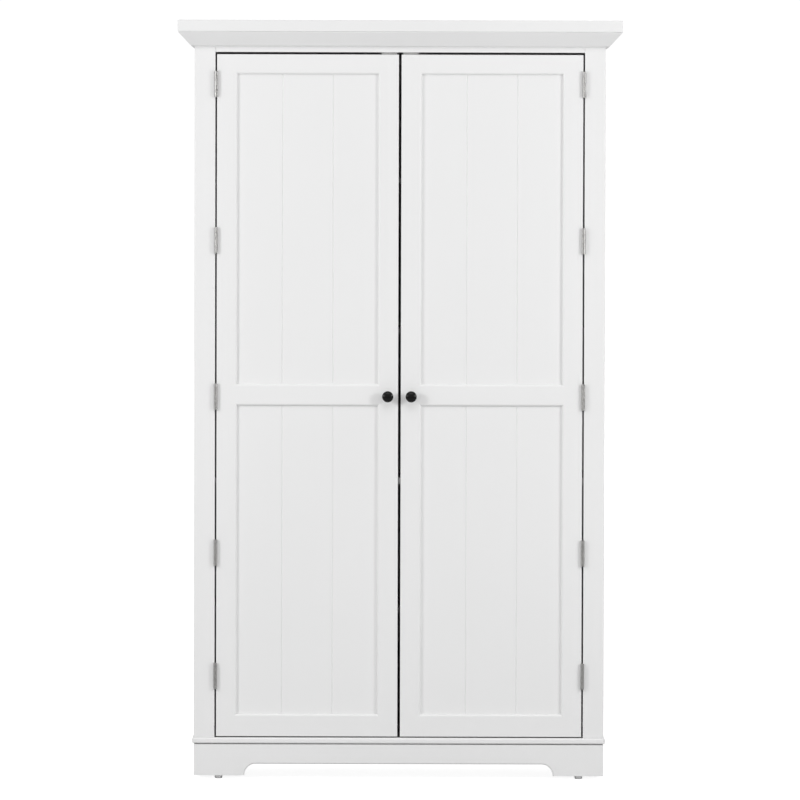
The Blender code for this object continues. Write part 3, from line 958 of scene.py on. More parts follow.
class PlankRecipe(Recipe):
    """A thin panel about the origin whose front, facing -Y, has upright V grooves at an even pitch."""

    def __init__(self) -> None:
        """Build the tree."""
        super().__init__("plank_panel", Width=0.3, Thickness=0.006, Height=0.7, Pitch=0.122,
                         Groove_Depth=0.0015, Grooves=2, Cutter_Share=1.1)
        board = self.block(self.vector(self.start["Width"], self.start["Thickness"], self.start["Height"]))
        side = self.multiply(self.start["Groove Depth"], math.sqrt(2.0) * 2)
        length = self.multiply(self.start["Height"], self.start["Cutter Share"])
        bar = self.shift(self.block(self.vector(side, side, length)), turn=(0.0, 0.0, math.pi / 4))
        span = self.multiply(self.start["Pitch"], self.reckon("SUBTRACT", self.start["Grooves"], 1.0))
        face = self.multiply(self.start["Thickness"], -0.5)
        outside = self.reckon("SUBTRACT", face, self.start["Groove Depth"])
        line = self.add("GeometryNodeMeshLine", {
            "Count": self.start["Grooves"], "Offset": self.vector(self.start["Pitch"]),
            "Start Location": self.vector(self.multiply(span, -0.5), outside)}).outputs["Mesh"]
        self.close(self.cut(board, self.realize(self.repeat(line, bar))))


class NailRecipe(Recipe):
    """Nail heads at an even pitch round an upright rectangle about the origin, facing +Y."""

    def __init__(self) -> None:
        """Build the tree."""
        super().__init__("back_nails", Width=0.95, Height=1.7, Pitch=0.11, Radius=0.0024, Taper=0.7,
                         Rise=0.0006, Sides=10)
        frame = self.add("GeometryNodeCurvePrimitiveQuadrilateral", {
            "Width": self.start["Width"], "Height": self.start["Height"]}).outputs["Curve"]
        path = self.add("GeometryNodeResampleCurve", {
            "Curve": frame, "Length": self.start["Pitch"]}, mode="LENGTH").outputs["Curve"]
        rim = self.multiply(self.start["Radius"], self.start["Taper"])
        head = self.frustum(self.start["Radius"], rim, self.start["Rise"])
        self.close(self.shift(self.repeat(path, head), turn=(-math.pi / 2, 0.0, 0.0)))


class Recipes:
    """The cabinet's geometry trees, each built once."""

    def __init__(self) -> None:
        """Build them."""
        self.screws = ScrewRecipe()
        self.pegs = PegRecipe()
        self.discs = DiscRecipe()
        self.drill = DrillRecipe()
        self.planks = PlankRecipe()
        self.nails = NailRecipe()


# ------------------------------------------------------------------ sub-assemblies
class Screw(Enum):
    """The kinds of screw, by what differs from the recipe's usual head."""

    FLUSH = {"Rise": 0.00015}
    CATCH = {"Head_Radius": 0.0030, "Face_Radius": 0.0022, "Rise": 0.0016, "Sunk": 0.0005,
             "Slot_Width": 0.0009, "Slot_Depth": 0.0009}
    KNOB = {"Head_Radius": 0.0046, "Face_Radius": 0.0032, "Rise": 0.0022, "Sunk": 0.0003,
            "Slot_Width": 0.0011, "Slot_Depth": 0.0012, "Sides": 28}


@dataclass
class Assembly:
    """Pieces that go together, made with the shared recipes."""

    recipes: Recipes

    def fit(self, piece: bpy.types.Object, body: Body, slot: Slot, *nodes: str) -> None:
        """Hand a finished piece to a body.

        Args:
            piece: The piece, in place.
            body: The body that carries it.
            slot: The record's slot for its finish; not used.
            nodes: The frame's nodes that it stands for.
        """
        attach(piece, body.value)
        if nodes:
            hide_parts(*nodes)
        LOG.info("%s: %d faces, on %s", piece.name, len(piece.data.polygons), body.value)

    def screws(self, name: str, spots: Sequence[Spot], body: Body, slot: Slot, kind: Screw) -> None:
        """Fit a kind of screw's heads at some spots, as one piece."""
        data = self.recipes.screws.grow(Spot.mesh(spots), SCREW_STEEL, **kind.value)
        self.fit(finish_piece(name, data, SCREW_STEEL), body, slot)


@dataclass
class Boards(Assembly):
    """Top board, base board and back panel."""

    corner_round: float = 0.0025
    top_round: float = 0.0015
    under_round: float = 0.0015
    nose_round: float = 0.005
    nose_under_round: float = 0.003
    nose_corner: float = 0.007
    shadow_rise: float = 0.0018
    shadow_inset: float = 0.010
    least_corner: float = 0.0008
    corner_steps: int = 5
    nail_pitch: float = 0.11
    nail_inset: float = 0.006
    nail_rise: float = 0.0006

    def build(self) -> None:
        """Make and fit the boards and the back's nails."""
        room = Room.of("top_board")
        profile = self.arc(self.under_round, room.low.z, 1, steps=3)
        profile += self.arc(self.top_round, room.high.z, -1, steps=3)[::-1]
        shape = self.edged(room, profile, self.corner_round)
        self.fit(shape.piece("painted_top_board", paint(Axis.X)), Body.CARCASS, Slot.PAINT, "top_board")

        room = Room.of("base_board")
        step = room.low.z + self.shadow_rise
        profile = [(self.shadow_inset, room.low.z), (self.shadow_inset, step)]
        profile += self.arc(self.nose_under_round, step, 1, steps=4)
        profile += self.arc(self.nose_round, room.high.z, -1, steps=6)[::-1]
        shape = self.edged(room, profile, self.nose_corner)
        self.fit(shape.piece("painted_base_board", paint(Axis.X)), Body.CARCASS, Slot.PAINT, "base_board")

        room = Room.of("back_panel")
        shape = Shape().box(room.low, room.high)
        for face in shape.mesh.faces:
            face.material_index = 1 if face.calc_center_median().y > room.middle.y else 0
        piece = shape.piece("faced_back_panel", LAMINATE, BARE_BACK)
        self.fit(piece, Body.CARCASS, Slot.BACK, "back_panel")

        width, _, height = room.size - 2 * self.nail_inset * Vector((1.0, 0.0, 1.0))
        data = self.recipes.nails.grow(bpy.data.meshes.new("nails"), SCREW_STEEL, Width=width, Height=height,
                                       Pitch=self.nail_pitch, Rise=self.nail_rise)
        data.transform(Matrix.Translation((room.middle.x, room.high.y - self.nail_rise, room.middle.z)))
        self.fit(finish_piece("back_panel_nails", data, SCREW_STEEL), Body.CARCASS, Slot.GLIDE)

    @staticmethod
    def arc(radius: float, level: float, rise: int, steps: int) -> list[Pair]:
        """Draw a rounded arris from a flat face round to the edge.

        Args:
            radius: The rounding's radius.
            level: The flat face's height.
            rise: 1 where the board lies above the face, -1 where it lies below.
            steps: How many steps the rounding has.

        Returns:
            Its (inset, height) points.
        """
        points = []
        for step in range(steps + 1):
            angle = math.pi / 2 * step / steps
            points.append((radius * (1 - math.sin(angle)), level + rise * radius * (1 - math.cos(angle))))
        return points

    def edged(self, room: Room, profile: Sequence[Pair], corner: float) -> Shape:
        """Return a board with a moulded edge along its front and ends, and a square back.

        Args:
            room: The board's room.
            profile: The edge's (inset, height) points, from the underside to the top.
            corner: The front corners' radius, seen from above.

        Returns:
            The board's shape.
        """
        rings = []
        for inset, height in profile:
            low, high, front = room.low.x + inset, room.high.x - inset, room.low.y + inset
            bend = max(corner - inset, self.least_corner)
            outline = rounded([(low, front), (high, front), (high, room.high.y), (low, room.high.y)],
                              [bend, bend, 0.0, 0.0], self.corner_steps)
            rings.append([Vector((*pair, height)) for pair in outline])
        return Shape().loft(rings)


@dataclass
class Shelving(Assembly):
    """Side panels with their pin holes, the shelves and what holds them."""

    ease: float = 0.0007
    hole_radius: float = 0.0025
    pitch: float = 0.032
    holes: int = 5
    column_inset: float = 0.037
    shelves: int = 3
    cap_radius: float = 0.008
    cap_sides: int = 28
    cap_rise: float = 0.0007
    cap_inset: float = 0.034

    def columns(self, shelf: Room) -> Pair:
        """Return the Y of the front and rear pins under a shelf."""
        return shelf.low.y + self.column_inset, shelf.high.y - self.column_inset

    def side_panel(self, side: Side, shelves: Sequence[Room]) -> None:
        """Make and fit a side panel: rebated for the back, and drilled for every shelf.

        Args:
            side: The side.
            shelves: The adjustable shelves' rooms.
        """
        node = f"side_panel_{side.word}"
        room, back = Room.of(node), Room.of("back_panel")
        outer, inner = sorted((room.low.x, room.high.x), key=abs, reverse=True)
        lip = side.value * (back.high.x + FIT)
        step = back.low.y - FIT
        outline = [(inner, room.low.y), (outer, room.low.y), (outer, room.high.y), (lip, room.high.y),
                   (lip, step), (inner, step)]
        shape = Shape().prism(outline, Axis.Z, room.low.z, room.high.z)
        shape.ease(self.ease, wanted=lambda at: at.y < step - TINY or abs(at.x - outer) < TINY)
        data = shape.data(node)
        for shelf in shelves:
            front, rear = self.columns(shelf)
            data = self.recipes.drill.grow(data, paint(Axis.Z), Radius=self.hole_radius, Pitch=self.pitch,
                                           Count=self.holes, Columns=rear - front, X=inner,
                                           Y=(front + rear) / 2, Z=shelf.low.z - self.hole_radius)
        piece = finish_piece(f"drilled_{node}", data, paint(Axis.Z))
        self.fit(piece, Body.CARCASS, Slot.PAINT, node)

    def build(self) -> None:
        """Make and fit everything."""
        inner = Room.of("side_panel_right").low.x
        nodes = [f"adjustable_shelf_{number}" for number in range(1, self.shelves + 1)]
        adjustable = {node: Room.of(node) for node in nodes}
        for side in Side:
            self.side_panel(side, list(adjustable.values()))
        for node, room in {"fixed_shelf": Room.of("fixed_shelf"), **adjustable}.items():
            shape = Shape().box(room.low, room.high).ease(self.ease)
            self.fit(shape.piece(f"laminated_{node}", LAMINATE), Body.CARCASS, Slot.SHELF, node)

        pins = []
        for shelf in adjustable.values():
            for side in Side:
                for depth in self.columns(shelf):
                    place = Vector((side.value * inner, depth, shelf.low.z - self.hole_radius))
                    pins.append(Spot(place, side.inward))
        data = self.recipes.pegs.grow(Spot.mesh(pins), GLIDE_STEEL)
        self.fit(finish_piece("shelf_pins", data, GLIDE_STEEL), Body.CARCASS, Slot.GLIDE)

        fixed = Room.of("fixed_shelf")
        panel = Room.of("side_panel_right")
        caps = []
        for side in Side:
            for depth in self.columns(fixed):
                for height in (panel.low.z + self.cap_inset, panel.high.z - self.cap_inset):
                    place = Vector((side.value * inner, depth, height))
                    caps.append(Spot(place, side.inward))
                place = Vector((side.value * (inner - self.cap_inset), depth, fixed.low.z))
                caps.append(Spot(place, DOWNWARD))
        data = self.recipes.discs.grow(Spot.mesh(caps), CATCH_PLASTIC, Radius=self.cap_radius,
                                       Rise=self.cap_rise, Sides=self.cap_sides)
        self.fit(finish_piece("cam_cover_caps", data, CATCH_PLASTIC), Body.CARCASS, Slot.CATCH)


@dataclass
class FaceFrame(Assembly):
    """Stiles, top rail and crown moulding."""

    ease: float = 0.0006
    corner_round: float = 0.0025
    fillet: float = 0.0010
    fillet_height: float = 0.0012
    ledge: float = 0.0100
    ledge_rise: float = 0.0030
    band: float = 0.0016
    soften: float = 0.0008
    soften_steps: int = 3

    def build(self) -> None:
        """Make and fit the frame and the crown."""
        grains = {"face_stile_left": Axis.Z, "face_stile_right": Axis.Z, "face_rail_top": Axis.X}
        for node, grain in grains.items():
            room = Room.of(node)
            corner = max((room.low.x, room.high.x), key=abs)
            shape = Shape().box(room.low, room.high)
            if grain is Axis.Z:
                shape.ease(self.corner_round, steps=4,
                           wanted=lambda at: abs(at.x - corner) + abs(at.y - room.low.y) < TINY)
            shape.ease(self.ease)
            self.fit(shape.piece(f"painted_{node}", paint(grain)), Body.CARCASS, Slot.PAINT, node)
        for node in ("crown_front", "crown_left", "crown_right"):
            grain = Axis.X if node == "crown_front" else Axis.Y
            piece = self.crown(node).piece(f"moulded_{node}", paint(grain))
            self.fit(piece, Body.CARCASS, Slot.PAINT, node)

    def section(self) -> list[Pair]:
        """Draw the crown's section.

        Returns:
            Its points, as (reach from the body, height).
        """
        front, face = Room.of("crown_front"), Room.of("face_stile_left").low.y
        reach, foot, top = face - front.low.y, front.low.z, front.high.z
        under = foot + self.fillet_height
        corners = [(FIT, foot), (self.fillet, foot), (self.fillet, under),
                   (self.ledge, under + self.ledge_rise), (reach, top - self.band), (reach, top), (FIT, top)]
        return rounded(corners, [0.0, 0.0, 0.0, self.soften, self.soften, 0.0, 0.0], self.soften_steps)

    def crown(self, node: str) -> Shape:
        """Make one length of crown moulding, mitred at the front corners.

        Args:
            node: The length's node.

        Returns:
            Its shape.
        """
        face, back = Room.of("face_stile_left").low.y, Room.of("top_board").high.y
        half = Room.of("side_panel_right").high.x
        short, late = (SEAM, 0.0) if node == "crown_front" else (0.0, SEAM)
        mitres = {side: [Vector((side.value * (half + reach - short), face - reach + late, height))
                         for reach, height in self.section()] for side in Side}
        if node == "crown_front":
            return Shape().loft(list(mitres.values()))
        mitre = mitres[Side.LEFT if node == "crown_left" else Side.RIGHT]
        return Shape().loft([mitre, [Vector((point.x, back, point.z)) for point in mitre]])


@dataclass
class Plinth(Assembly):
    """Arched plinth boards and the glides under them."""

    ease: float = 0.0010
    arch_round: float = 0.0035
    shadow_gap: float = 0.0004
    arch_steps: int = 20
    front_foot: float = 0.122
    side_foot: float = 0.095
    arch: float = 0.028
    # a glide's sole, and its side from the sole up, as shares of its radius and height
    glide_foot: float = 0.55
    glide_curve: tuple[Pair, ...] = ((0.62, 0.0), (0.76, 0.07), (0.86, 0.28), (0.97, 0.66), (1.0, 0.80))
    glide_sides: int = 48

    def outline(self, low: float, high: float, bottom: float, top: float, foot: float) -> list[Pair]:
        """Return a plinth board's outline with an arch between its feet.

        Args:
            low: Where the board starts.
            high: Where it ends.
            bottom: The height of its underside.
            top: The height of its top edge.
            foot: The width of each foot.

        Returns:
            The outline's points.
        """
        points = [(low, top), (low, bottom)]
        for centre, start in ((low + foot + self.arch, math.pi), (high - foot - self.arch, math.pi / 2)):
            for step in range(self.arch_steps + 1):
                angle = start - math.pi / 2 * step / self.arch_steps
                points.append((centre + self.arch * math.cos(angle), bottom + self.arch * math.sin(angle)))
        return points + [(high, bottom), (high, top)]

    def board(self, node: str, along: Axis, through: Axis, foot: float, face: float) -> None:
        """Make and fit a plinth board, its arch rounded over on the face.

        Args:
            node: The board's node.
            along: The axis that the board runs along.
            through: The axis through its thickness.
            foot: The width of each foot.
            face: Where its face lies on that axis.
        """
        room = Room.of(node)
        low, high, top = room.low[along.value], room.high[along.value], room.high.z - self.shadow_gap
        outline = self.outline(low, high, room.low.z, top, foot)
        shape = Shape().prism(outline, through, room.low[through.value], room.high[through.value])

        def on_face(at: Vector) -> bool:
            """Return whether an edge lies in the board's face."""
            return abs(at[through.value] - face) < TINY

        shape.ease(self.arch_round, steps=4,
                   wanted=lambda at: on_face(at) and room.low.z + TINY < at.z < top - TINY
                   and low + TINY < at[along.value] < high - TINY)
        shape.ease(self.ease, wanted=on_face)
        self.fit(shape.piece(f"painted_{node}", paint(along)), Body.CARCASS, Slot.PAINT, node)

    def build(self) -> None:
        """Make and fit the boards and the glides."""
        room = Room.of("plinth_front")
        self.board("plinth_front", Axis.X, Axis.Y, self.front_foot, room.low.y)
        for side, face in ((Side.LEFT, room.low.x), (Side.RIGHT, room.high.x)):
            self.board(f"plinth_{side.word}", Axis.Y, Axis.X, self.side_foot, face)
        for row in ("front", "rear"):
            for side in Side:
                node = f"glide_{row}_{side.word}"
                piece = self.glide(Room.of(node)).piece(f"turned_{node}", GLIDE_STEEL)
                self.fit(piece, Body.CARCASS, Slot.GLIDE, node)

    def glide(self, room: Room) -> Shape:
        """Make a pressed steel glide that fills a room.

        Args:
            room: The room.

        Returns:
            The glide's shape.
        """
        radius, height = room.size.x / 2, room.size.z
        curve = flowing(sized(self.glide_curve, radius, height), steps=4)
        profile = [(0.0, 0.0), (self.glide_foot * radius, 0.0), *curve, (radius, height), (0.0, height)]
        place = Matrix.Translation((room.middle.x, room.middle.y, room.low.z))
        return Shape().turned(profile, self.glide_sides).move(place)


@dataclass
class Catches(Assembly):
    """Magnetic catches behind the top rail and their strike plates on the doors."""

    flange: float = 0.0025
    ease: float = 0.0005
    strike_space: float = 0.0018
    block_drop: float = 0.001
    block_rise: float = 0.010
    slot_width: float = 0.0036
    slot_height: float = 0.008
    slot_spread: float = 0.012
    slot_steps: int = 8
    slot_overrun: float = 0.001
    pole_heights: Pair = (0.0035, 0.0115)
    pole_inset: float = 0.006
    pole_depth: float = 0.004
    pole_thickness: float = 0.0015
    pole_proud: float = 0.0004
    metal_ease: float = 0.0002
    plate_width: float = 0.034
    plate_height: float = 0.0125
    plate_thickness: float = 0.0011
    plate_inset: float = 0.001
    plate_corner: float = 0.002
    plate_screw_share: float = 0.3

    def magnet(self) -> float:
        """Return the Y of the magnets' fronts, clear of the strike plates on the doors' backs."""
        return Room.of("door_left_rail_top").high.y + self.strike_space

    def screw_height(self, room: Room) -> float:
        """Return the height of a catch's screws, half-way up its flange above the block."""
        return (Room.of("face_rail_top").low.z + self.block_rise + room.high.z) / 2

    def slot(self, centre: float, middle: float) -> list[Pair]:
        """Draw an upright slot with round ends.

        Args:
            centre: Its centre's X.
            middle: Its centre's height.

        Returns:
            The slot's outline.
        """
        half = self.slot_width / 2
        straight = self.slot_height / 2 - half
        outline = []
        for sign in (1, -1):
            for step in range(self.slot_steps + 1):
                angle = math.pi * step / self.slot_steps
                across, up = half * math.cos(angle), straight + half * math.sin(angle)
                outline.append((centre + sign * across, middle + sign * up))
        return outline

    def casing(self, room: Room) -> Shape:
        """Make a catch's plastic casing: a block under a screwed flange, with two slots through it.

        Args:
            room: The catch's room.

        Returns:
            The casing's shape.
        """
        rail, magnet = Room.of("face_rail_top"), self.magnet()
        face = rail.high.y + FIT
        flange = face + self.flange
        block_low, block_high = rail.low.z - self.block_drop, rail.low.z + self.block_rise
        outline = [(face, room.high.z), (face, block_low), (magnet, block_low), (magnet, room.low.z),
                   (room.high.y, room.low.z), (room.high.y, block_high), (flange, block_high),
                   (flange, room.high.z)]
        shape = Shape().prism(outline, Axis.X, room.low.x, room.high.x).ease(self.ease)
        for sign in (-1, 1):
            hole = self.slot(room.middle.x + sign * self.slot_spread, self.screw_height(room))
            cutter = Shape().prism(hole, Axis.Y, face - self.slot_overrun, flange + self.slot_overrun)
            shape = shape.combine(cutter, "DIFFERENCE")
        return shape

    def build(self) -> None:
        """Make and fit the catches, the strike plates and their screws."""
        screws = []
        magnet, flange = self.magnet(), Room.of("face_rail_top").high.y + FIT + self.flange
        for side in Side:
            node = f"magnetic_catch_{side.word}"
            room = Room.of(node)
            shape = self.casing(room)
            self.fit(shape.piece(f"moulded_{node}", CATCH_PLASTIC), Body.CARCASS, Slot.CATCH, node)
            poles = Shape()
            for rise in self.pole_heights:
                low = Vector((room.low.x + self.pole_inset, magnet - self.pole_proud, room.low.z + rise))
                high = Vector((room.high.x - self.pole_inset, magnet + self.pole_depth,
                               room.low.z + rise + self.pole_thickness))
                poles.box(low, high)
            poles.ease(self.metal_ease, steps=1)
            self.fit(poles.piece(f"catch_poles_{side.word}", SCREW_STEEL), Body.CARCASS, Slot.GLIDE)
            for sign in (-1, 1):
                across = room.middle.x + sign * self.slot_spread
                screws.append(Spot(Vector((across, flange, self.screw_height(room))), REARWARD))
            self.strike(side, room, Room.of(f"door_{side.word}_rail_top"))
        self.screws("catch_screws", screws, Body.CARCASS, Slot.GLIDE, Screw.CATCH)

    def strike(self, side: Side, catch: Room, rail: Room) -> None:
        """Make and fit a strike plate with two flush screws on a door's back.

        Args:
            side: The door's side.
            catch: The room of the catch that it meets.
            rail: The room of the door's top rail.
        """
        centre = Vector((catch.middle.x, rail.high.y,
                         rail.high.z - self.plate_inset - self.plate_height / 2))
        low = centre - Vector((self.plate_width / 2, 0.0, self.plate_height / 2))
        high = centre + Vector((self.plate_width / 2, self.plate_thickness, self.plate_height / 2))
        plate = Shape().box(low, high)
        plate.ease(self.plate_corner, steps=4,
                   wanted=lambda at: abs(at.y - centre.y - self.plate_thickness / 2) < TINY)
        plate.ease(self.metal_ease, steps=1, wanted=lambda at: at.y > high.y - TINY)
        self.fit(plate.piece(f"strike_plate_{side.word}", HINGE_STEEL), side.door, Slot.HINGE)
        spots = []
        for sign in (-1, 1):
            across = centre.x + sign * self.plate_width * self.plate_screw_share
            spots.append(Spot(Vector((across, high.y, centre.z)), REARWARD))
        self.screws(f"strike_screws_{side.word}", spots, side.door, Slot.HINGE, Screw.FLUSH)


@dataclass
class Door(Assembly):
    """One framed plank door with its knob."""

    side: Side = Side.LEFT
    sticking: float = 0.006
    sticking_depth: float = 0.0052
    fillet: float = 0.0008
    sticking_steps: int = 6
    groove_depth: float = 0.008
    groove_play: float = 0.00015
    plank_pitch: float = 0.122
    plank_groove: float = 0.0015
    edge_ease: float = 0.0008
    edge_steps: int = 3
    # the knob's foot, and its neck and head, as shares of its radius and length
    knob_foot: tuple[Pair, ...] = ((0.0, 0.0), (0.57, 0.0), (0.60, 0.02), (0.60, 0.07))
    knob_curve: tuple[Pair, ...] = (
        (0.52, 0.11), (0.40, 0.20), (0.37, 0.36), (0.52, 0.50), (0.88, 0.59), (1.0, 0.70), (0.95, 0.82),
        (0.76, 0.92), (0.42, 0.985), (0.12, 0.999))
    knob_sides: int = 64

    def node(self, name: str) -> str:
        """Return a node's whole name from its name on the door."""
        return f"door_{self.side.word}_{name}"

    def build(self) -> None:
        """Make and fit the door's pieces."""
        for name in ("stile_outer", "stile_inner"):
            self.fit_painted(name, self.stile(name), Axis.Z)
        shaped = {"rail_bottom": (False, True), "rail_mid": (True, True), "rail_top": (True, False)}
        for name, (low, high) in shaped.items():
            self.fit_painted(name, self.rail(name, low, high), Axis.X)
        for name in ("panel_lower", "panel_upper"):
            room = Room.of(self.node(name))
            data = self.recipes.planks.grow(
                bpy.data.meshes.new(name), paint(Axis.Z), Width=room.size.x, Thickness=room.size.y,
                Height=room.size.z, Pitch=self.plank_pitch, Groove_Depth=self.plank_groove)
            data.transform(Matrix.Translation(room.middle))
            piece = finish_piece(f"planked_{self.node(name)}", data, paint(Axis.Z))
            self.fit(piece, self.side.door, Slot.PAINT, self.node(name))
        self.knob()

    def fit_painted(self, name: str, shape: Shape, grain: Axis) -> None:
        """Fit a painted piece that stands for a node of its own, with its grain along an axis."""
        piece = shape.piece(f"painted_{self.node(name)}", paint(grain))
        self.fit(piece, self.side.door, Slot.PAINT, self.node(name))

    def depths(self) -> tuple[float, float, float, float]:
        """Return the Y of the door's face, its panel groove's two walls, and its back."""
        stile, panel = Room.of(self.node("stile_outer")), Room.of(self.node("panel_upper"))
        return stile.low.y, panel.low.y - self.groove_play, panel.high.y + self.groove_play, stile.high.y

    def moulding(self) -> list[Pair]:
        """Draw the ovolo's section.

        Returns:
            Its points, as (distance in from the edge, depth from the face).
        """
        reach = self.sticking - self.fillet
        section = []
        for step in range(self.sticking_steps + 1):
            angle = math.pi / 2 * step / self.sticking_steps
            inward = self.sticking - reach * math.sin(angle)
            section.append((inward, self.sticking_depth * (1 - math.cos(angle))))
        return [*section, (0.0, self.sticking_depth)]

    def stile(self, name: str) -> Shape:
        """Make a stile, moulded and grooved on the edge that faces the panels.

        Args:
            name: The stile's name on the door.

        Returns:
            The stile's shape.
        """
        room, middle = Room.of(self.node(name)), Room.of(self.node("panel_upper")).middle.x
        plain, shaped = sorted((room.low.x, room.high.x), key=lambda x: abs(x - middle), reverse=True)
        into = math.copysign(1.0, plain - shaped)
        face, wall, rear, back = self.depths()
        edge = [(shaped + into * inward, face + depth) for inward, depth in self.moulding()]
        deep = shaped + into * self.groove_depth
        outline = [(plain, face), *edge, (shaped, wall), (deep, wall), (deep, rear), (shaped, rear),
                   (shaped, back), (plain, back)]

        def wanted(at: Vector) -> bool:
            """Return whether an edge is one of the door's outer arrises."""
            at_end = abs(at.z - room.middle.z) > room.size.z / 2 - TINY
            return abs(at.x - plain) < TINY or (at_end and (at.y < face + TINY or at.y > back - TINY))

        shape = Shape().prism(outline, Axis.Z, room.low.z, room.high.z)
        return shape.ease(self.edge_ease, self.edge_steps, wanted)

    def rail(self, name: str, low_shaped: bool, high_shaped: bool) -> Shape:
        """Return a rail, coped over the stiles' moulding and shaped on the edges that face a panel.

        Args:
            name: The rail's name on the door.
            low_shaped: Whether its lower edge is moulded and grooved.
            high_shaped: Whether its upper edge is.

        Returns:
            The rail's shape.
        """
        room, panel = Room.of(self.node(name)), Room.of(self.node("panel_upper"))
        stiles = sorted((Room.of(self.node(stile)) for stile in ("stile_outer", "stile_inner")),
                        key=lambda stile: stile.low.x)
        ends = (stiles[0].high.x + SEAM, stiles[1].low.x - SEAM)
        face, wall, rear, back = self.depths()
        moulding = self.moulding()
        halves = []
        for edge, inward, shaped in ((room.low.z, 1, low_shaped), (room.high.z, -1, high_shaped)):
            deep = edge + inward * self.groove_depth
            half = [(face + depth, edge + inward * reach * shaped, reach) for reach, depth in moulding]
            if shaped:
                half += [(wall, edge, 0.0), (wall, deep, 0.0), (rear, deep, 0.0), (rear, edge, 0.0)]
            halves.append([*half, (back, edge, 0.0)])
        shape = Shape()
        rings = []
        for end, outward in zip(ends, (-1, 1)):
            lower, upper = (shape.points([Vector((end + outward * cope, depth, height))
                                          for depth, height, cope in half]) for half in halves)
            last = len(moulding) - 1
            for index in range(last):
                after = index + 1
                shape.mesh.faces.new((lower[index], lower[after], upper[after], upper[index]))
            shape.mesh.faces.new(lower[last:] + upper[last:][::-1])
            rings.append(lower + upper[::-1])
        shape.band(*rings)
        centre = panel.middle.x
        return shape.ease(self.edge_ease, self.edge_steps, lambda at: abs(at.x - centre) < TINY
                          and (at.y < face + TINY or at.y > back - TINY))

    def knob(self) -> None:
        """Make and fit the knob, and the head of the screw that holds it."""
        node = f"knob_{self.side.word}"
        room = Room.of(node)
        radius, length = room.size.x / 2, room.size.y
        foot = sized(self.knob_foot, radius, length)
        curve = flowing(sized(self.knob_curve, radius, length), steps=5)
        shape = Shape().turned([*foot, *curve, (0.0, length)], self.knob_sides)
        place = Matrix.Translation((room.middle.x, room.high.y, room.middle.z))
        shape.move(place @ Matrix.Rotation(math.pi / 2, 4, "X"))
        self.fit(shape.piece(f"lacquered_{node}", KNOB_BLACK), self.side.door, Slot.KNOB, node)
        back = Room.of(self.node("stile_inner")).high.y
        spot = Spot(Vector((room.middle.x, back, room.middle.z)), REARWARD)
        self.screws(f"knob_screw_{self.side.word}", [spot], self.side.door, Slot.HINGE, Screw.KNOB)


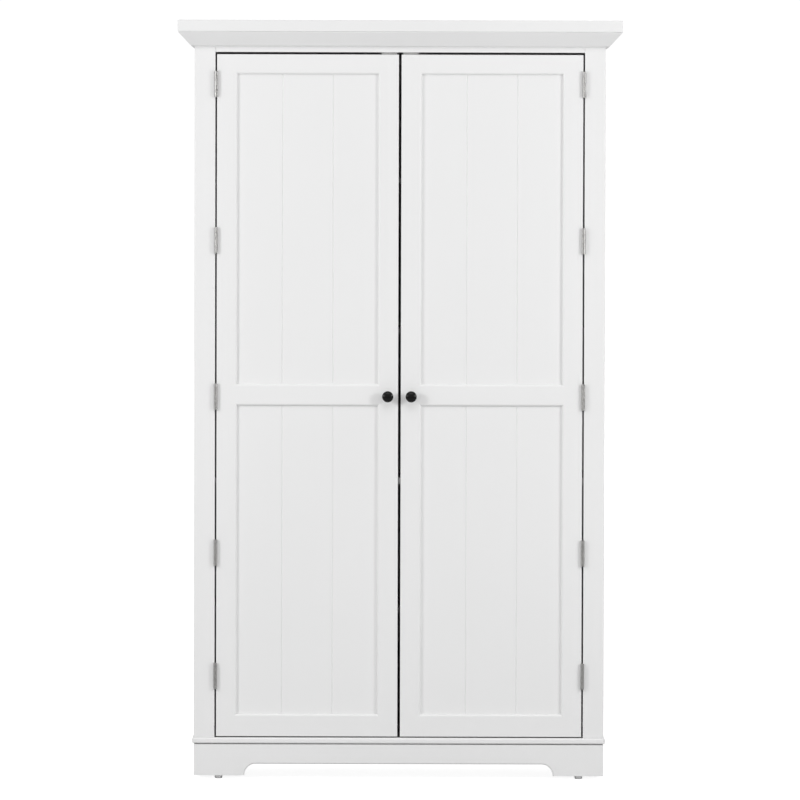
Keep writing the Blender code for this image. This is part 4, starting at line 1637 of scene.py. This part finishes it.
@dataclass
class Hinges(Assembly):
    """Butt hinges: a frame leaf with its pin and a door leaf, five to a door."""

    count: int = 5
    knuckles: int = 5
    barrel_radius: float = 0.0042
    pin_radius: float = 0.0022
    pin_chamfer: float = 0.0005
    pin_tip_share: float = 0.8
    pin_grip_share: float = 0.9
    bore_radius: float = 0.0026
    knuckle_gap: float = 0.0004
    knuckle_chamfer: float = 0.0003
    leaf_gap: float = 0.0006
    leaf_thickness: float = 0.0014
    leaf_start_gap: float = 0.0005
    leaf_corner: float = 0.002
    leaf_corner_steps: int = 4
    # each screw, as shares of the leaf's length and of its depth behind the axis
    screw_places: tuple[Pair, ...] = ((-0.34, 0.7264), (0.0, 0.568), (0.34, 0.7264))
    sides: int = 32

    def spans(self, first: int, length: float) -> list[Pair]:
        """Work out where a leaf's knuckles lie: every second one of the hinge's.

        Args:
            first: The number of its first knuckle.
            length: The hinge's length.

        Returns:
            Each knuckle's (low, high) about the hinge's middle.
        """
        step = length / self.knuckles
        starts = [-length / 2 + index * step for index in range(first, self.knuckles, 2)]
        return [(start + self.knuckle_gap / 2, start + step - self.knuckle_gap / 2) for start in starts]

    def leaf(self, spans: Sequence[Pair], sign: int, length: float, reach: float) -> Shape:
        """Return a leaf's plate with a tongue to each knuckle, about the hinge's axis.

        Args:
            spans: Its knuckles' spans.
            sign: Which side of the hinge's middle plane it lies on.
            length: Its length.
            reach: How far behind the axis it ends.

        Returns:
            The plate's shape.
        """
        start, tip = self.barrel_radius + self.leaf_start_gap, (self.barrel_radius + self.bore_radius) / 2
        corners = [(reach, length / 2), (reach, -length / 2), (start, -length / 2)]
        radii = [self.leaf_corner, self.leaf_corner, 0.0]
        for low, high in spans:
            corners += [(start, low), (tip, low), (tip, high), (start, high)]
            radii += [0.0] * 4
        corners.append((start, length / 2))
        near = self.leaf_gap / 2
        outline = rounded(corners, [*radii, 0.0], self.leaf_corner_steps)
        return Shape().prism(outline, Axis.X, *sorted((sign * near, sign * (near + self.leaf_thickness))))

    def build(self, axes: dict[str, Vector]) -> None:
        """Make and fit every leaf and its screws.

        Args:
            axes: A point on each door's hinge axis, by the door's body.
        """
        length = Room.of("hinge_left_1_frame_leaf").size.z
        meshes = {}
        for name, first, sign in (("frame", 0, -1), ("door", 1, 1)):
            spans = self.spans(first, length)
            reach = Room.of(f"hinge_left_1_{name}_leaf").high.y - axes[Body.DOOR_LEFT.value].y
            knuckles = Shape()
            inner = self.pin_radius * self.pin_grip_share if name == "frame" else self.bore_radius
            for low, high in spans:
                knuckles.tube(inner, self.barrel_radius, low, high, self.knuckle_chamfer, self.sides)
            shape = self.leaf(spans, sign, length, reach).combine(knuckles, "UNION")
            if name == "frame":
                half = spans[-1][1]
                rim, straight = self.pin_radius * self.pin_tip_share, half - self.pin_chamfer
                pin = [(0.0, -half), (rim, -half), (self.pin_radius, -straight), (self.pin_radius, straight),
                       (rim, half), (0.0, half)]
                shape = shape.combine(Shape().turned(pin, self.sides), "UNION")
            meshes[name] = shape.data(f"hinge_{name}_leaf")
        for side in Side:
            self.hang(side, meshes, axes[side.door.value])

    def hang(self, side: Side, meshes: dict[str, bpy.types.Mesh], axis: Vector) -> None:
        """Fit one door's hinges.

        Args:
            side: The door's side.
            meshes: The two leaves' meshes about their axis, by name.
            axis: A point on the door's hinge axis.
        """
        spots: dict[str, list[Spot]] = {"frame": [], "door": []}
        turn = Matrix.Rotation(math.pi if side is Side.RIGHT else 0.0, 4, "Y")
        for number in range(1, self.count + 1):
            for name, sign in (("frame", -1), ("door", 1)):
                node = f"hinge_{side.word}_{number}_{name}_leaf"
                room = Room.of(node)
                place = Matrix.Translation((axis.x, axis.y, room.middle.z)) @ turn
                data = meshes[name].copy()
                data.transform(place)
                body = Body.CARCASS if name == "frame" else side.door
                self.fit(finish_piece(f"plated_{node}", data, HINGE_STEEL), body, Slot.HINGE, node)
                depth = room.high.y - axis.y
                for rise, across in self.screw_places:
                    spot = Vector((sign * self.leaf_gap / 2, depth * across, rise * room.size.z))
                    facing = Vector((-sign, 0.0, 0.0))
                    spots[name].append(Spot(place @ spot, place.to_3x3() @ facing))
        for name, body in (("frame", Body.CARCASS), ("door", side.door)):
            self.screws(f"{name}_leaf_screws_{side.word}", spots[name], body, Slot.HINGE, Screw.FLUSH)


# ------------------------------------------------------------------ studio
@dataclass
class Studio:
    """A plain pale floor, soft light from both sides and above, and a long lens straight in front.

    Angles are in degrees, the lens and its sensor in millimetres, and the lights' powers in watts.
    """

    elevation: float = 1.79
    roll: float = 0.15
    distance: float = 15.0
    lens: float = 279.9
    sensor: float = 36.0
    sight: float = 100.0
    aim: Pair = (0.0014, 0.9164)
    floor_half: float = 40.0
    floor_shade: float = 0.60
    floor_glow: float = 0.90
    sky_seen: float = 1.05
    sky_light: float = 0.496
    key_left: float = 30.5
    key_right: float = 31.1
    key_size: Pair = (0.6, 0.7)
    key_place: tuple[float, float, float] = (2.5, -1.92, 1.55)
    top_power: float = 32.2
    top_size: Pair = (3.0, 1.6)
    top_place: tuple[float, float, float] = (0.0, -3.0, 3.9)

    def build(self) -> None:
        """Set the studio up round the cabinet."""
        scene = bpy.context.scene
        scene.view_settings.view_transform = "Standard"
        self.floor()
        self.sky(scene)
        aim = Vector((0.0, Room.of("face_stile_left").low.y, self.aim[1]))
        for side in Side:
            place = Vector(self.key_place)
            place.x *= side.value
            power = self.key_left if side is Side.LEFT else self.key_right
            self.light(f"side_light_{side.word}", place, aim, power, self.key_size)
        self.light("top_light", Vector(self.top_place), aim, self.top_power, self.top_size)
        self.camera(scene)

    def floor(self) -> None:
        """Lay the floor."""
        mesh = bmesh.new()
        bmesh.ops.create_grid(mesh, x_segments=1, y_segments=1, size=self.floor_half)
        data = bpy.data.meshes.new("floor")
        mesh.to_mesh(data)
        mesh.free()
        floor = set_down("floor", data)
        work = Dresser("pale_floor")
        work.plain(Base_Color=rgba((self.floor_shade,) * 3), Roughness=0.9, Specular_IOR_Level=0.0,
                   Emission_Color=rgba((1.0, 1.0, 1.0)))
        seen = work.add("ShaderNodeLightPath", {}).outputs["Is Camera Ray"]
        work.link(Emission_Strength=work.multiply(seen, self.floor_glow))
        data.materials.append(work.material)

    def sky(self, scene: bpy.types.Scene) -> None:
        """Surround the set with white that lights it softly.

        Args:
            scene: The scene.
        """
        world = bpy.data.worlds.new("studio")
        scene.world = world
        world.use_nodes = True
        work = Wiring(world.node_tree)
        soft, seen = work.tree.nodes["Background"], work.tree.nodes.new("ShaderNodeBackground")
        for node, strength in ((soft, self.sky_light), (seen, self.sky_seen)):
            node.inputs["Color"].default_value = rgba((1.0, 1.0, 1.0))
            node.inputs["Strength"].default_value = strength
        path = work.add("ShaderNodeLightPath", {}).outputs["Is Camera Ray"]
        choice = work.add("ShaderNodeMixShader", {"Fac": path, 1: soft.outputs[0], 2: seen.outputs[0]})
        work.tree.links.new(choice.outputs[0], work.tree.nodes["World Output"].inputs["Surface"])

    @staticmethod
    def light(name: str, place: Vector, aim: Vector, power: float, size: Pair) -> None:
        """Hang a soft rectangular light.

        Args:
            name: The light's name.
            place: Where it hangs.
            aim: The point that it faces.
            power: Its power in watts.
            size: Its width and height.
        """
        lamp = bpy.data.lights.new(name, "AREA")
        lamp.shape = "RECTANGLE"
        lamp.size, lamp.size_y = size
        lamp.energy = power
        made = set_down(name, lamp)
        made.location = place
        made.rotation_euler = (place - aim).to_track_quat("Z", "Y").to_euler()

    def camera(self, scene: bpy.types.Scene) -> None:
        """Set the camera in front of the cabinet.

        Args:
            scene: The scene.
        """
        lens = bpy.data.cameras.new("camera")
        lens.lens = self.lens
        lens.sensor_width = self.sensor
        lens.clip_end = self.sight
        camera = set_down("camera", lens)
        angle = math.radians(self.elevation)
        back = Vector((0.0, -math.cos(angle), math.sin(angle)))
        aim = Vector((self.aim[0], Room.of("face_stile_left").low.y, self.aim[1]))
        camera.location = aim + back * self.distance
        camera.rotation_mode = "QUATERNION"
        roll = Quaternion((0.0, 0.0, 1.0), math.radians(self.roll))
        camera.rotation_quaternion = back.to_track_quat("Z", "Y") @ roll
        scene.camera = camera


def main() -> None:
    """Build the finished cabinet round its frame, in its studio."""
    logging.basicConfig(level=logging.INFO, format="%(name)s: %(message)s")
    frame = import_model()
    recipes = Recipes()
    Boards(recipes).build()
    Shelving(recipes).build()
    FaceFrame(recipes).build()
    Plinth(recipes).build()
    Catches(recipes).build()
    for side in Side:
        Door(recipes, side).build()
    Hinges(recipes).build({joint["child"]: Vector(joint["pos_m"]) for joint in frame["joints"]})
    Studio().build()


if __name__ == "__main__":
    main()
